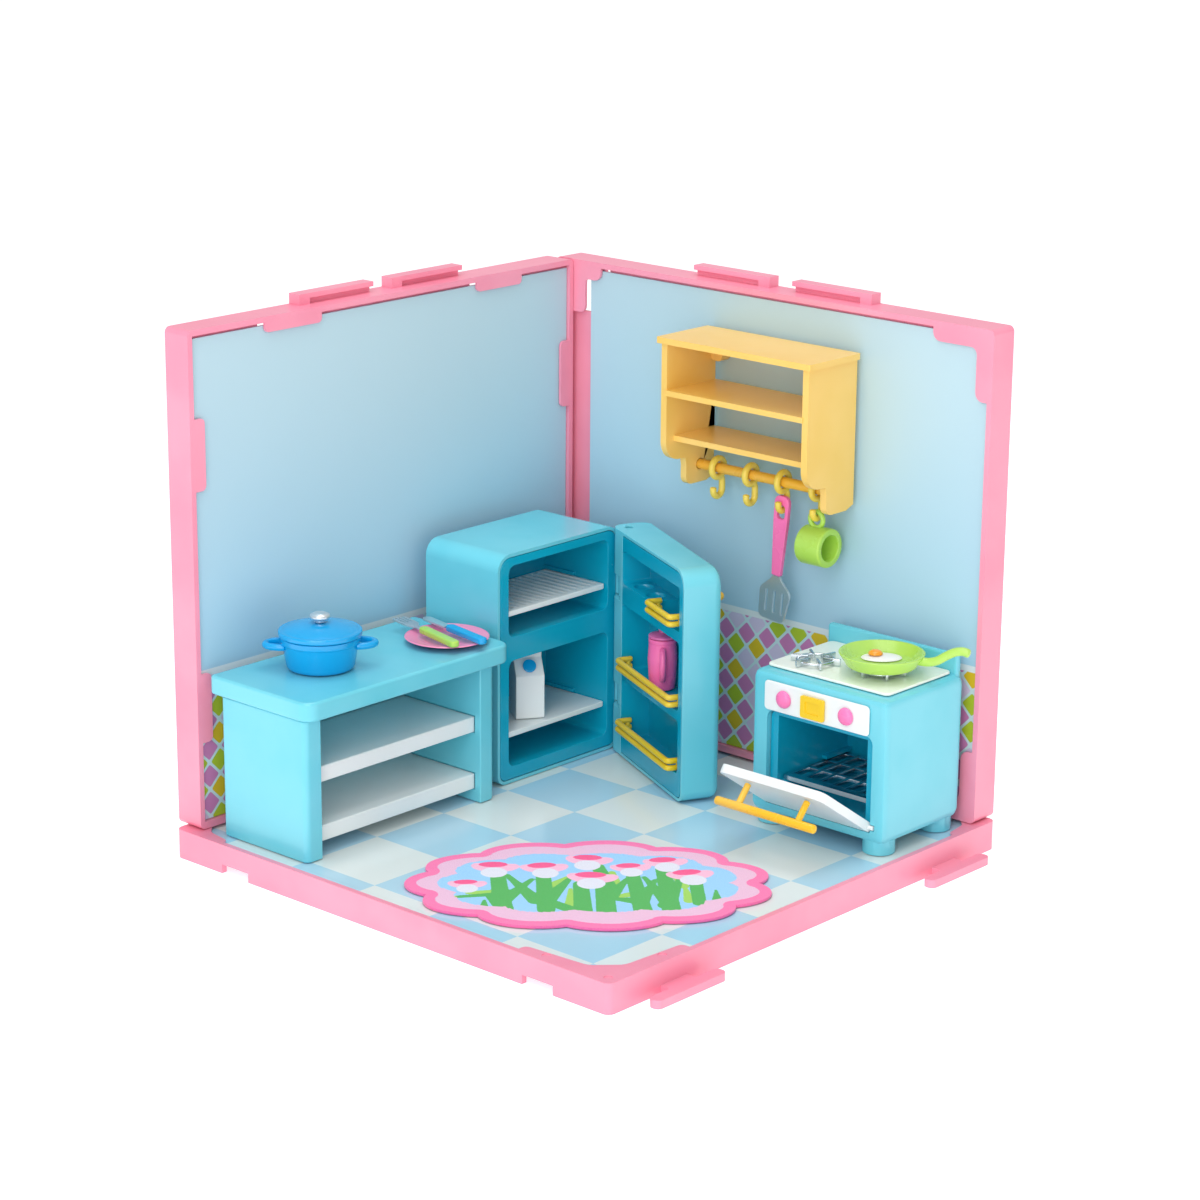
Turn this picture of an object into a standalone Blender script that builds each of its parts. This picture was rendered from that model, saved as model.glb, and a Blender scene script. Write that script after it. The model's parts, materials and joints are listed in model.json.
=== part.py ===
"""Toy kitchen: one room of a dolls' house set, with its furniture and utensils.

Sizes are in millimetres in the room's frame and become metres in the helpers.  In that frame x
runs along the back wall, y towards the back wall and z up, and the middle of the floor is 0, 0.
"""

import math

import bmesh
import bpy
from mathutils import Matrix, Vector

MM = 0.001
GAP = 0.3  # between pieces that touch

# Floor panel
FLOOR_X = 200.0
FLOOR_Y = 200.4
FLOOR_H = 10.4
FLOOR_WALL = 2.2
CARD = 1.0
FLOOR_CARD_DROP = 0.9
LEDGE = 6.8
LEDGE_T = 1.6
TONGUE_OUT = 8.0
TONGUE_HEAD = (4.6, 33.0)
TONGUE_STEM_W = 12.5
TONGUE_H = 2.9
CLIP_SPACING = 70.0

# Wall panels
WALL_H = 173.5
WALL_T = 11.4
WALL_RIM = 2.0
WALL_CARD_DROP = 1.3
CARD_SHY = 1.2
LEFT_WALL_FACE = -91.2
LEFT_WALL_FRONT = -96.4
BACK_WALL_FACE = 90.35
BACK_WALL_LEFT = -100.0
BACK_WALL_RIGHT = 97.7
BACK_CARD_LEFT = -84.1
TAB_T = 1.0
EAR_H = 3.8
EAR_L = 35.0

# Counter
COUNTER_BACK = -88.3
COUNTER_FRONT = -39.7
COUNTER_LEFT = -93.4
COUNTER_RIGHT = 3.6
COUNTER_TOP = 66.5
WORKTOP_T = 6.8
PANEL_BACK = -84.0
PANEL_FRONT = -42.8
PANEL_LEFT = -92.0
PANEL_RIGHT = -2.1
PANEL_T = 7.2
COUNTER_BACK_T = 3.0
SHELF_FRONT = -46.0
SHELF_TOPS = (41.0, 20.0)
SHELF_T = 5.6
GROOVE = 0.7

# Fridge
FRIDGE_BACK = -85.5
FRIDGE_FRONT = -50.0
FRIDGE_LEFT = 6.9
FRIDGE_RIGHT = 70.4
FRIDGE_TOP = 94.7
FRIDGE_SKIN = 1.2
BAY_LEFT = 12.6
BAY_RIGHT = 64.7
BAY_BACK = -81.0
UPPER_BAY = (64.0, 90.2)
LOWER_BAY = (15.8, 55.3)
WIRE_SHELF_Z = (71.3, 73.2)
LOWER_SHELF_Z = (26.3, 28.3)
FRIDGE_SHELF_FRONT = -51.3
SLOTS = 15
SLOT_W = 1.7
HINGE_X = -44.6
HINGE_Y = 69.8
DOOR_OPEN = 63.9
DOOR_T = 14.9
DOOR_GAP = 0.4
LUGS = ((28.0, 36.0), (69.0, 77.0))
PIN_R = 1.5
RECESS_HINGE = 6.8
RECESS_FREE = 58.8
RECESS_DEPTH = 10.8
EGG_SHELF_Z = 75.9
DOOR_SHELF_Z = 43.0
DOOR_FLOOR_Z = 20.0  # top of the lip of the lowest pocket
DOOR_RAIL_R = 1.05
DOOR_RAIL_SPACING = 2.6
DOOR_HANDLE_Z = 79.6

# Stove
STOVE_X = (35.7, 93.8)
STOVE_Y = (43.5, 87.5)
STOVE_Z = (13.8, 65.0)
STOVE_SKIN = 1.8
FOOT_R = 5.6
FOOT_INSET = 6.2
HOB_X = (38.5, 90.5)
HOB_Y = (48.0, 84.0)
HOB_T = 1.0
PANEL_X = (42.3, 87.2)
PANEL_Z_TOP = 62.3
KNOB_X = (51.1, 77.8)
KNOB_R = 3.1
CONTROLS_Z = 57.0
DISPLAY_X = (59.0, 68.9)
UPSTAND_TOP = 72.2
OVEN_X = (42.9, 88.3)
OVEN_Z = (17.8, 51.5)
OVEN_BACK = 84.5
OVEN_RIM = 3.5
OVEN_R = 2.8
OVEN_DOOR_OPEN = 56.0
OVEN_DOOR_T = 3.2
OVEN_DOOR_GAP = 0.4
RACK_TOP = 27.6
RACK_T = 1.6
RACK_FRONT = 48.0
RACK_BACK = 82.0
BURNER_R = 8.9
BURNER_TOP = 69.0
LEFT_BURNER = (51.7, 58.2)
RIGHT_BURNER = (75.3, 64.3)

# Wall shelf
SHELF_X = (-24.0, 42.0)
SHELF_Y = (62.8, 89.2)
SHELF_TOP = 168.8
SHELF_BOTTOM = 113.6
SHELF_BOARD = 2.2
SHELF_SIDE = 2.6
SHELF_OVERHANG = 1.4
MID_SHELF_Z = 150.0
LOW_SHELF_Z = 133.0
LOW_SHELF_FRONT = 67.0
SHELF_TAIL_FRONT = 74.0
SHELF_STEP_Z = 125.0
RAIL_Y = 81.5
RAIL_Z = 120.2
RAIL_R = 1.85
HOOK_X = (-13.0, 2.2, 16.8, 32.2)
HOOK_WIRE = 1.2
HOOK_BEND = 2.4
HOOK_DROP = 8.0

# Small things
POT_AT = (-66.8, -62.2)
POT_TOP_R = 13.7
POT_BOTTOM_R = 11.6
POT_H = 11.4
POT_WALL = 1.2
PLATE_AT = (-57.1, -11.2)
PLATE_R = 15.0
PLATE_H = 2.2
RUG_AT = (38.8, -41.8)
RUG_SIZE = (122.0, 80.5)
RUG_TURN = 43.3
RUG_T = 1.0
RUG_LOBES = 11
PAN_RIM_R = 14.9
PAN_BASE_R = 12.0
PAN_H = 4.9
PAN_TURN = 19.5
CARTON_AT = (-60.5, 33.0)
CARTON_W = 10.6
CARTON_BODY_H = 16.0
CARTON_H = 25.0
CARTON_TURN = 57.3
JUG_S = 32.1
JUG_R = 5.25
JUG_X = 0.25
MUG_R = 7.0
MUG_BORE_R = 4.1
MUG_L = 11.0

# Places that follow from the sizes above
FLOOR_CARD_TOP = FLOOR_H - FLOOR_CARD_DROP
STAND_Z = FLOOR_CARD_TOP + GAP
WALL_Z = FLOOR_H + GAP
WALL_TOP = WALL_Z + WALL_H
LEFT_WALL_OUT = LEFT_WALL_FACE - WALL_T
BACK_WALL_OUT = BACK_WALL_FACE + WALL_T
COUNTER_SET_Z = COUNTER_TOP + GAP
ROOM_CENTRE = (
    (LEFT_WALL_OUT + FLOOR_X / 2 + TONGUE_OUT) / 2,
    (BACK_WALL_OUT - FLOOR_Y / 2) / 2,
)


def clear_scene():
    for obj in list(bpy.data.objects):
        bpy.data.objects.remove(obj, do_unlink=True)
    for collection in list(bpy.data.collections):
        bpy.data.collections.remove(collection)


def new_collection(name):
    collection = bpy.data.collections.new(name)
    bpy.context.scene.collection.children.link(collection)
    return collection


def paint(name, colour, roughness=0.3, metallic=0.0):
    material = bpy.data.materials.new(name)
    material.use_nodes = True
    shader = material.node_tree.nodes["Principled BSDF"]
    shader.inputs["Base Color"].default_value = (*colour, 1.0)
    shader.inputs["Roughness"].default_value = roughness
    shader.inputs["Metallic"].default_value = metallic
    return material


def empty_at(name, place, turn=0.0, about="Z", parent=None):
    """A guide that its children are measured from."""
    guide = bpy.data.objects.new(name, None)
    PARTS.objects.link(guide)
    guide.parent = parent
    guide.location = Vector(place) * MM
    guide.rotation_euler["XYZ".index(about)] = math.radians(turn)
    return guide


def put(name, mesh, material, parent):
    obj = bpy.data.objects.new(name, mesh)
    PARTS.objects.link(obj)
    obj.parent = parent or ROOM
    if material:
        mesh.materials.clear()
        mesh.materials.append(material)
    return obj


def from_bmesh(name, bm, material, parent, smooth=False):
    mesh = bpy.data.meshes.new(name)
    bmesh.ops.recalc_face_normals(bm, faces=bm.faces)
    bm.to_mesh(mesh)
    bm.free()
    if smooth:
        mesh.shade_smooth()
        mesh.set_sharp_from_angle(angle=math.radians(35))
    return put(name, mesh, material, parent)


def from_curve(name, curve, matrix, material, parent, smooth=False):
    """The curve as a welded mesh."""
    guide = bpy.data.objects.new(name + "_curve", curve)
    PARTS.objects.link(guide)
    guide.matrix_world = matrix
    bpy.context.view_layer.update()
    graph = bpy.context.evaluated_depsgraph_get()
    mesh = bpy.data.meshes.new_from_object(guide.evaluated_get(graph))
    bm = bmesh.new()
    bm.from_mesh(mesh)
    bm.transform(matrix)
    bmesh.ops.remove_doubles(bm, verts=bm.verts, dist=0.00002)
    bpy.data.objects.remove(guide, do_unlink=True)
    bpy.data.curves.remove(curve)
    bpy.data.meshes.remove(mesh)
    return from_bmesh(name, bm, material, parent, smooth)


def outline_points(corners, segments):
    """The outline with an arc at each corner that has a radius: corners hold u, v, radius."""
    points = []
    for index, (u, v, radius) in enumerate(corners):
        here = Vector((u, v))
        if radius <= 0:
            points.append(here)
            continue
        before = (Vector(corners[index - 1][:2]) - here).normalized()
        after = (Vector(corners[(index + 1) % len(corners)][:2]) - here).normalized()
        half = before.angle(after) / 2
        reach = radius / math.tan(half)
        centre = here + (before + after).normalized() * radius / math.sin(half)
        start = here + before * reach - centre
        sweep = (here + after * reach - centre).angle_signed(start)
        for step in range(segments + 1):
            points.append(centre + Matrix.Rotation(sweep * step / segments, 2) @ start)
    return points


AXES = {
    "X": Matrix(((0, 0, 1, 0), (1, 0, 0, 0), (0, 1, 0, 0), (0, 0, 0, 1))),
    "Y": Matrix(((1, 0, 0, 0), (0, 0, -1, 0), (0, 1, 0, 0), (0, 0, 0, 1))),
    "Z": Matrix.Identity(4),
}


def slab(name, points, low, high, axis="Z", material=None, parent=None):
    """A flat outline, thickened from low to high along the axis.

    The points are y, z for X, x, z for Y and x, y for Z.
    """
    curve = bpy.data.curves.new(name, "CURVE")
    curve.dimensions = "2D"
    curve.fill_mode = "BOTH"
    curve.extrude = (high - low) / 2 * MM
    spline = curve.splines.new("POLY")
    spline.points.add(len(points) - 1)
    for spot, (u, v) in zip(spline.points, points):
        spot.co = (u * MM, v * MM, 0, 1)
    spline.use_cyclic_u = True
    middle = Vector((0, 0, 0))
    middle["XYZ".index(axis)] = (high + low) / 2 * MM
    matrix = Matrix.Translation(middle) @ AXES[axis]
    return from_curve(name, curve, matrix, material, parent)


def rectangle(u0, v0, u1, v1, radii=0.0):
    """Corners for outline_points, from low u and v round: one radius, or one for each."""
    if not isinstance(radii, tuple):
        radii = (radii,) * 4
    spots = ((u0, v0), (u1, v0), (u1, v1), (u0, v1))
    return [(u, v, radius) for (u, v), radius in zip(spots, radii)]


def plate(name, corners, low, high, axis="Z", material=None, parent=None, segments=4):
    return slab(name, outline_points(corners, segments), low, high, axis, material, parent)


def box(name, low, high, material=None, parent=None, edge=0.0):
    """A block between two corners, with its edges rounded by edge."""
    return boxes(name, [(low, high)], material, parent, edge)


def boxes(name, spans, material=None, parent=None, edge=0.0):
    """Blocks that stay apart, in one mesh."""
    bm = bmesh.new()
    for low, high in spans:
        low, high = Vector(low) * MM, Vector(high) * MM
        matrix = Matrix.Translation((low + high) / 2) @ Matrix.Diagonal((*(high - low), 1))
        bmesh.ops.create_cube(bm, size=1.0, matrix=matrix)
    obj = from_bmesh(name, bm, material, parent, smooth=edge > 0)
    if edge > 0:
        bevel = obj.modifiers.new("Rounded edges", "BEVEL")
        bevel.width = edge * MM
        bevel.segments = 2
    return obj


def rod(name, start, end, radius, material=None, parent=None, sides=16):
    """A cylinder between two points."""
    start, end = Vector(start) * MM, Vector(end) * MM
    along = end - start
    turn = along.to_track_quat("Z", "Y").to_matrix().to_4x4()
    bm = bmesh.new()
    bmesh.ops.create_cone(
        bm,
        cap_ends=True,
        segments=sides,
        radius1=radius * MM,
        radius2=radius * MM,
        depth=along.length,
        matrix=Matrix.Translation((start + end) / 2) @ turn,
    )
    return from_bmesh(name, bm, material, parent, smooth=True)


def turned(name, profile, place, material=None, parent=None, steps=32, axis="Z"):
    """A profile of radius, height turned about the axis through the place."""
    mesh = bpy.data.meshes.new(name)
    spots = [(radius * MM, 0, height * MM) for radius, height in profile]
    mesh.from_pydata(spots, [(i, i + 1) for i in range(len(spots) - 1)], [])
    obj = put(name, mesh, material, parent)
    obj.location = Vector(place) * MM
    if axis == "X":
        obj.rotation_euler[1] = math.radians(90)
    elif axis == "Y":
        obj.rotation_euler[0] = math.radians(90)
    screw = obj.modifiers.new("Turn", "SCREW")
    screw.steps = screw.render_steps = steps
    screw.use_merge_vertices = True
    screw.merge_threshold = 0.00001
    screw.use_smooth_shade = True
    return obj


def tube(name, points, radius, material=None, parent=None, cyclic=False, resolution=1):
    """A round wire along the points."""
    curve = bpy.data.curves.new(name, "CURVE")
    curve.dimensions = "3D"
    curve.bevel_depth = radius * MM
    curve.bevel_resolution = resolution
    curve.use_fill_caps = True
    spline = curve.splines.new("POLY")
    spline.points.add(len(points) - 1)
    for spot, point in zip(spline.points, points):
        spot.co = (*(Vector(point) * MM), 1)
    spline.use_cyclic_u = cyclic
    return from_curve(name, curve, Matrix.Identity(4), material, parent, smooth=True)


def ring(name, centre, radius, wire, material=None, parent=None, axis="Z", steps=24):
    turn = {
        "X": Matrix.Rotation(math.pi / 2, 4, "Y"),
        "Y": Matrix.Rotation(math.pi / 2, 4, "X"),
        "Z": Matrix.Identity(4),
    }
    points = []
    for step in range(steps):
        angle = math.tau * step / steps
        spot = Vector((math.cos(angle), math.sin(angle), 0)) * radius
        points.append(Vector(centre) + turn[axis] @ spot)
    return tube(name, points, wire, material, parent, cyclic=True)


def helper(obj):
    """Hides a piece that only cuts or joins another."""
    PARTS.objects.unlink(obj)
    CUTTERS.objects.link(obj)
    obj.hide_render = True
    obj.display_type = "WIRE"


def combine(obj, others, operation):
    for other in others:
        helper(other)
        boolean = obj.modifiers.new(operation.title(), "BOOLEAN")
        boolean.operation = operation
        boolean.object = other
    return obj


def cut(obj, *cutters):
    return combine(obj, cutters, "DIFFERENCE")


def join(obj, *others):
    return combine(obj, others, "UNION")


def arc(centre, radius, start, end, steps):
    """Points u, v on an arc, from start to end in degrees."""
    points = []
    for step in range(steps + 1):
        angle = math.radians(start + (end - start) * step / steps)
        points.append((centre[0] + radius * math.cos(angle), centre[1] + radius * math.sin(angle)))
    return points


def dome_profile(radius, height, steps=5):
    """A low dome with a flat base, from its top down to its rim and back to the middle."""
    points = []
    for step in range(steps + 1):
        angle = math.radians(90 * (1 - step / steps))
        points.append((radius * math.cos(angle), height * math.sin(angle)))
    return [*points, (0, 0)]


# ---------------------------------------------------------------- floor and walls


def floor_panel():
    half_x, half_y = FLOOR_X / 2, FLOOR_Y / 2
    inner_x, inner_y = half_x - FLOOR_WALL, half_y - FLOOR_WALL
    ledge_top = FLOOR_CARD_TOP - CARD - GAP
    under = ledge_top - LEDGE_T
    tray = plate(
        "floor_frame", rectangle(-half_x, -half_y, half_x, half_y, 2.5), 0, FLOOR_H, "Z", PINK
    )
    rib = 2.0
    windows = []
    for side_x in (-1, 1):
        for side_y in (-1, 1):
            near = (side_x * rib, side_y * rib)
            far = (side_x * (inner_x - LEDGE), side_y * (inner_y - LEDGE))
            low = (min(near[0], far[0]), min(near[1], far[1]), under - 1)
            high = (max(near[0], far[0]), max(near[1], far[1]), ledge_top + 1)
            windows.append((low, high))
    cut(
        tray,
        box("card_pocket", (-inner_x, -inner_y, ledge_top), (inner_x, inner_y, FLOOR_H + 1)),
        box("under_pocket", (-inner_x, -inner_y, -1), (inner_x, inner_y, under)),
        boxes("ledge_windows", windows),
    )
    join(
        tray,
        corner_leaf((half_x, -half_y), -1, 1, 40.0, 9.0),
        corner_leaf((-half_x, -half_y), 1, 1, 22.0, 7.0),
        corner_leaf((half_x, half_y), -1, -1, 22.0, 7.0),
    )
    dimple = 4.2
    for at in ((half_x - dimple, -half_y + dimple), (70.0, -half_y + dimple), (half_x - dimple, -71.0)):
        cut(tray, rod("dimple", (*at, FLOOR_H - 0.35), (*at, FLOOR_H + 1), 1.5))
    for side in (-1, 1):
        middle = side * CLIP_SPACING
        join(tray, floor_tongue(middle, half_x))
        notch = TONGUE_STEM_W / 2 + GAP
        low = (middle - notch, -half_y - 1, -1)
        high = (middle + notch, -half_y + FLOOR_WALL + 1, TONGUE_H + GAP)
        cut(tray, box("notch", low, high))
    card_x, card_y = inner_x - GAP, inner_y - GAP
    plate(
        "floor_card",
        rectangle(-card_x, -card_y, card_x, card_y, 1.0),
        FLOOR_CARD_TOP - CARD,
        FLOOR_CARD_TOP,
        "Z",
        FLOOR_PRINT,
    )


def corner_leaf(corner, sign_x, sign_y, length, width):
    """A thin leaf over a corner of the floor card: two arms with a hollow curve between."""
    low, high = FLOOR_CARD_TOP + GAP, FLOOR_H
    edge = 1.0
    spots = [
        (edge, edge, 0),
        (length, edge, 0),
        (length, width * 0.6, 2.0),
        (width * 1.7, width * 0.8, 5.0),
        (width * 0.8, width * 1.7, 5.0),
        (width * 0.6, length, 2.0),
        (edge, length, 0),
    ]
    corners = [(corner[0] + sign_x * u, corner[1] + sign_y * v, r) for u, v, r in spots]
    if sign_x * sign_y < 0:
        corners.reverse()
    return plate("corner_leaf", corners, low, high)


def floor_tongue(middle, face):
    """A T-shaped tongue that a neighbouring panel's notch drops over."""
    head_w, head_l = TONGUE_HEAD
    tip = face + TONGUE_OUT
    stem = (face - 1, middle - TONGUE_STEM_W / 2, 0), (tip - 1, middle + TONGUE_STEM_W / 2, TONGUE_H)
    head = rectangle(tip - head_w, middle - head_l / 2, tip, middle + head_l / 2, head_w * 0.45)
    return join(plate("tongue", head, 0, TONGUE_H), box("tongue_stem", *stem))


def wall_panel(name, axis, face, outwards, left, right, card_left):
    """An upright frame that holds a card: left and right as seen from inside the room."""

    def depths(near, far):
        return sorted((face + outwards * near, face + outwards * far))

    def pane(label, u0, z0, u1, z1, near, far, radius=0.0, material=None):
        return plate(label, rectangle(u0, z0, u1, z1, radius), *depths(near, far), axis, material)

    low, high = WALL_Z, WALL_TOP
    seat = WALL_CARD_DROP + CARD + GAP
    inner = (left + WALL_RIM, low + WALL_RIM + 0.5, right - WALL_RIM, high - WALL_RIM)
    ledge_left = max(inner[0], card_left) + LEDGE - 2.0
    frame = pane(f"{name}_frame", left, low, right, high, 0, WALL_T, 2.0, PINK)
    window = (ledge_left, inner[1] + LEDGE - 2, inner[2] - LEDGE + 2, inner[3] - LEDGE + 2)
    cut(
        frame,
        pane("card_pocket", *inner, -1, seat),
        pane("back_pocket", *inner, seat + LEDGE_T, WALL_T + 1),
        pane("window", *window, seat - 1, seat + LEDGE_T + 1),
    )
    card = (max(inner[0], card_left) + GAP, inner[1] + GAP, inner[2] - GAP, inner[3] - CARD_SHY)
    print_side = LEFT_PRINT if axis == "X" else BACK_PRINT
    pane(f"{name}_card", *card, WALL_CARD_DROP, WALL_CARD_DROP + CARD, 0.0, print_side)
    return frame, pane, inner, seat


def ear(pane, start, length, block_left):
    """A rail on top of a wall that the next storey hooks over."""
    end = start + length
    base, top = WALL_TOP - 1, WALL_TOP + EAR_H
    head = pane("ear_head", start, top - 1.7, end, top, WALL_T * 0.5, WALL_T - 0.5)
    stem = pane("ear_stem", start, base, end, top - 1.2, WALL_T * 0.68, WALL_T - 1.0)
    block = (start, start + 5) if block_left else (end - 5, end)
    stop = pane("ear_stop", block[0], base, block[1], top - 0.02, WALL_T * 0.5 + 0.02, WALL_T - 0.52)
    return join(head, stem, stop)


def left_wall():
    frame, pane, inner, seat = wall_panel(
        "left_wall", "X", LEFT_WALL_FACE, -1, LEFT_WALL_FRONT, BACK_WALL_FACE - GAP, -1000
    )
    drop, slit = 3.5, 1.3
    for start, end in ((-62.2, -36.3), (39.4, 62.4)):
        top = (start, inner[3] - drop, end, inner[3] + 1)
        foot = (start, inner[1] - 1, end, inner[1] + drop)
        cut(
            frame,
            pane("mould_slot", start - slit, top[1], end, inner[3], seat - 1, seat + LEDGE_T + 1),
            pane("mould_slot", start - slit, inner[1], end, foot[3], seat - 1, seat + LEDGE_T + 1),
        )
        join(
            frame,
            pane("tab", *top, 0.02, TAB_T, (1.6, 1.6, 0, 0)),
            pane("tab", *foot, 0.02, TAB_T, (0, 0, 1.6, 1.6)),
        )
    reach = 4.5
    for start, end in ((41.6, 65.9), (129.4, 154.1)):
        near = (inner[0] - 1, start, inner[0] + reach, end)
        far = (inner[2] - reach, start, inner[2] + 1, end)
        join(
            frame,
            pane("tab", *near, 0.02, TAB_T, (0, 1.8, 1.8, 0)),
            pane("tab", *far, 0.02, TAB_T, (1.8, 0, 0, 1.8)),
        )
    join(frame, ear(pane, -41.4, EAR_L, True), ear(pane, 2.5, EAR_L, True))


def back_wall():
    frame, pane, inner, seat = wall_panel(
        "back_wall", "Y", BACK_WALL_FACE, 1, BACK_WALL_LEFT, BACK_WALL_RIGHT, BACK_CARD_LEFT
    )
    arm, width = 23.0, 4.8
    left_arm_end, left_tip = BACK_CARD_LEFT - 1.4, BACK_CARD_LEFT + 6.1
    leaf_z = WALL_TOP - WALL_RIM - 17.4
    slot_end, through = BACK_CARD_LEFT + 0.1, (seat - 1, seat + LEDGE_T + 1)
    cut(
        frame,
        pane("mould_slot", inner[0], leaf_z, slot_end, inner[3], *through),
        pane("mould_slot", inner[0], inner[1], slot_end, inner[1] + arm - 1.6, *through),
        pane("mould_slot", left_tip, inner[3] - 3, left_tip + 2.4, inner[3], *through),
    )
    far, low, high = inner[2], inner[1], inner[3]
    leaves = (
        [
            (inner[0] - 1, high + 1, 0),
            (inner[0] - 1, leaf_z, 0),
            (left_arm_end, leaf_z, 2.5),
            (left_arm_end, high - width, 1.2),
            (left_tip, high - width, 3.0),
            (left_tip, high + 1, 0),
        ],
        [
            (far + 1, high + 1, 0),
            (far - arm, high + 1, 0),
            (far - arm, high - width, 3.0),
            (far - width, high - width, 2.5),
            (far - width, high - arm, 3.0),
            (far + 1, high - arm, 0),
        ],
        [
            (far + 1, low - 1, 0),
            (far + 1, low + arm, 0),
            (far - width, low + arm, 3.0),
            (far - width, low + width, 2.5),
            (far - arm, low + width, 3.0),
            (far - arm, low - 1, 0),
        ],
        [
            (inner[0] - 1, low - 1, 0),
            (left_tip, low - 1, 0),
            (left_tip, low + width, 3.0),
            (left_arm_end, low + width, 1.2),
            (left_arm_end, low + arm, 2.5),
            (inner[0] - 1, low + arm, 0),
        ],
    )
    near_y, far_y = BACK_WALL_FACE + 0.02, BACK_WALL_FACE + TAB_T
    for corners in leaves:
        join(frame, plate("leaf", corners, near_y, far_y, "Y"))
    join(frame, ear(pane, -38.2, EAR_L, False), ear(pane, 7.0, EAR_L, False))


def rug():
    """A flat cloud: an oval whose edge swells into lobes."""
    guide = empty_at("rug_middle", (*RUG_AT, 0), RUG_TURN, parent=ROOM)
    lobe = 0.09
    points = []
    count = RUG_LOBES * 8
    for step in range(count):
        angle = math.tau * step / count
        swell = 1 - lobe + lobe * abs(math.sin(angle * RUG_LOBES / 2)) ** 0.8
        points.append(
            (RUG_SIZE[0] / 2 * swell * math.cos(angle), RUG_SIZE[1] / 2 * swell * math.sin(angle))
        )
    slab("rug", points, STAND_Z, STAND_Z + RUG_T, "Z", RUG_CLOTH, guide)


# ---------------------------------------------------------------- counter


def counter():
    low = COUNTER_TOP - WORKTOP_T
    edges = rectangle(COUNTER_BACK, COUNTER_LEFT, COUNTER_FRONT, COUNTER_RIGHT, (1.5, 5, 5, 1.5))
    plate("counter_worktop", edges, low, COUNTER_TOP, "Z", TURQUOISE)
    base_edges = rectangle(PANEL_BACK, PANEL_LEFT, PANEL_FRONT, PANEL_RIGHT, (1, 2.2, 2.2, 1))
    base = plate("counter_base", base_edges, STAND_Z, low - GAP, "Z", TURQUOISE)
    bay_back = PANEL_BACK + COUNTER_BACK_T
    bay_left, bay_right = PANEL_LEFT + PANEL_T, PANEL_RIGHT - PANEL_T
    cut(base, box("bay", (bay_back, bay_left, 0), (PANEL_FRONT + 5, bay_right, COUNTER_TOP)))
    names = ("counter_upper_shelf", "counter_lower_shelf")
    for name, top in zip(names, SHELF_TOPS):
        back, left, right = bay_back - GROOVE, bay_left - GROOVE, bay_right + GROOVE
        cut(
            base,
            box(
                "groove",
                (back - GAP, left - GAP, top - SHELF_T - GAP),
                (SHELF_FRONT + GAP, right + GAP, top + GAP),
            ),
        )
        edges = rectangle(back, left, SHELF_FRONT, right, (0, 0.8, 0.8, 0))
        plate(name, edges, top - SHELF_T, top, "Z", WHITE)


def pot():
    x, y = POT_AT
    low = COUNTER_SET_Z
    rim = low + POT_H
    floor = low + 1.5
    inner_top, inner_base = POT_TOP_R - POT_WALL, POT_BOTTOM_R - POT_WALL
    profile = [
        (0, floor),
        (inner_base - 1, floor),
        (inner_base, floor + 1),
        (inner_top, rim),
        (POT_TOP_R, rim),
        (POT_BOTTOM_R, low + 1),
        (POT_BOTTOM_R - 1, low),
        (0, low),
    ]
    body = turned("pot_body", profile, (x, y, 0), BLUE)
    grip_z, reach, half = rim - 3.0, 6.2, 4.2
    for side in (0, 180):
        middle = math.radians(47 + side)
        out = Vector((math.cos(middle), math.sin(middle), 0))
        across = Vector((-math.sin(middle), math.cos(middle), 0))
        points = []
        for u, v in arc((0, 0), 1, -90, 90, 10):
            spot = out * (POT_TOP_R - 1.3 + reach * u) + across * half * v
            points.append(Vector((x, y, grip_z)) + spot)
        join(body, tube("pot_handle", points, 1.2))
    seat = rim + GAP
    lid_r = POT_TOP_R + 0.6
    lid = [
        (0, seat + 4.1),
        (4, seat + 3.9),
        (9, seat + 3.1),
        (lid_r - 1.6, seat + 2.2),
        (lid_r, seat + 1.9),
        (lid_r, seat),
        (inner_top - GAP, seat),
        (inner_top - 1, seat + 1.0),
        (0, seat + 2.4),
    ]
    turned("pot_lid", lid, (x, y, 0), BLUE)
    knob = seat + 4.1 + GAP
    head = [
        (0, knob + 3.2),
        (2.6, knob + 3.0),
        (3.5, knob + 2.3),
        (3.5, knob + 1.5),
        (2.0, knob + 1.0),
        (1.9, knob),
        (0, knob),
    ]
    turned("pot_lid_knob", head, (x, y, 0), SILVER, steps=20)


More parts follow.
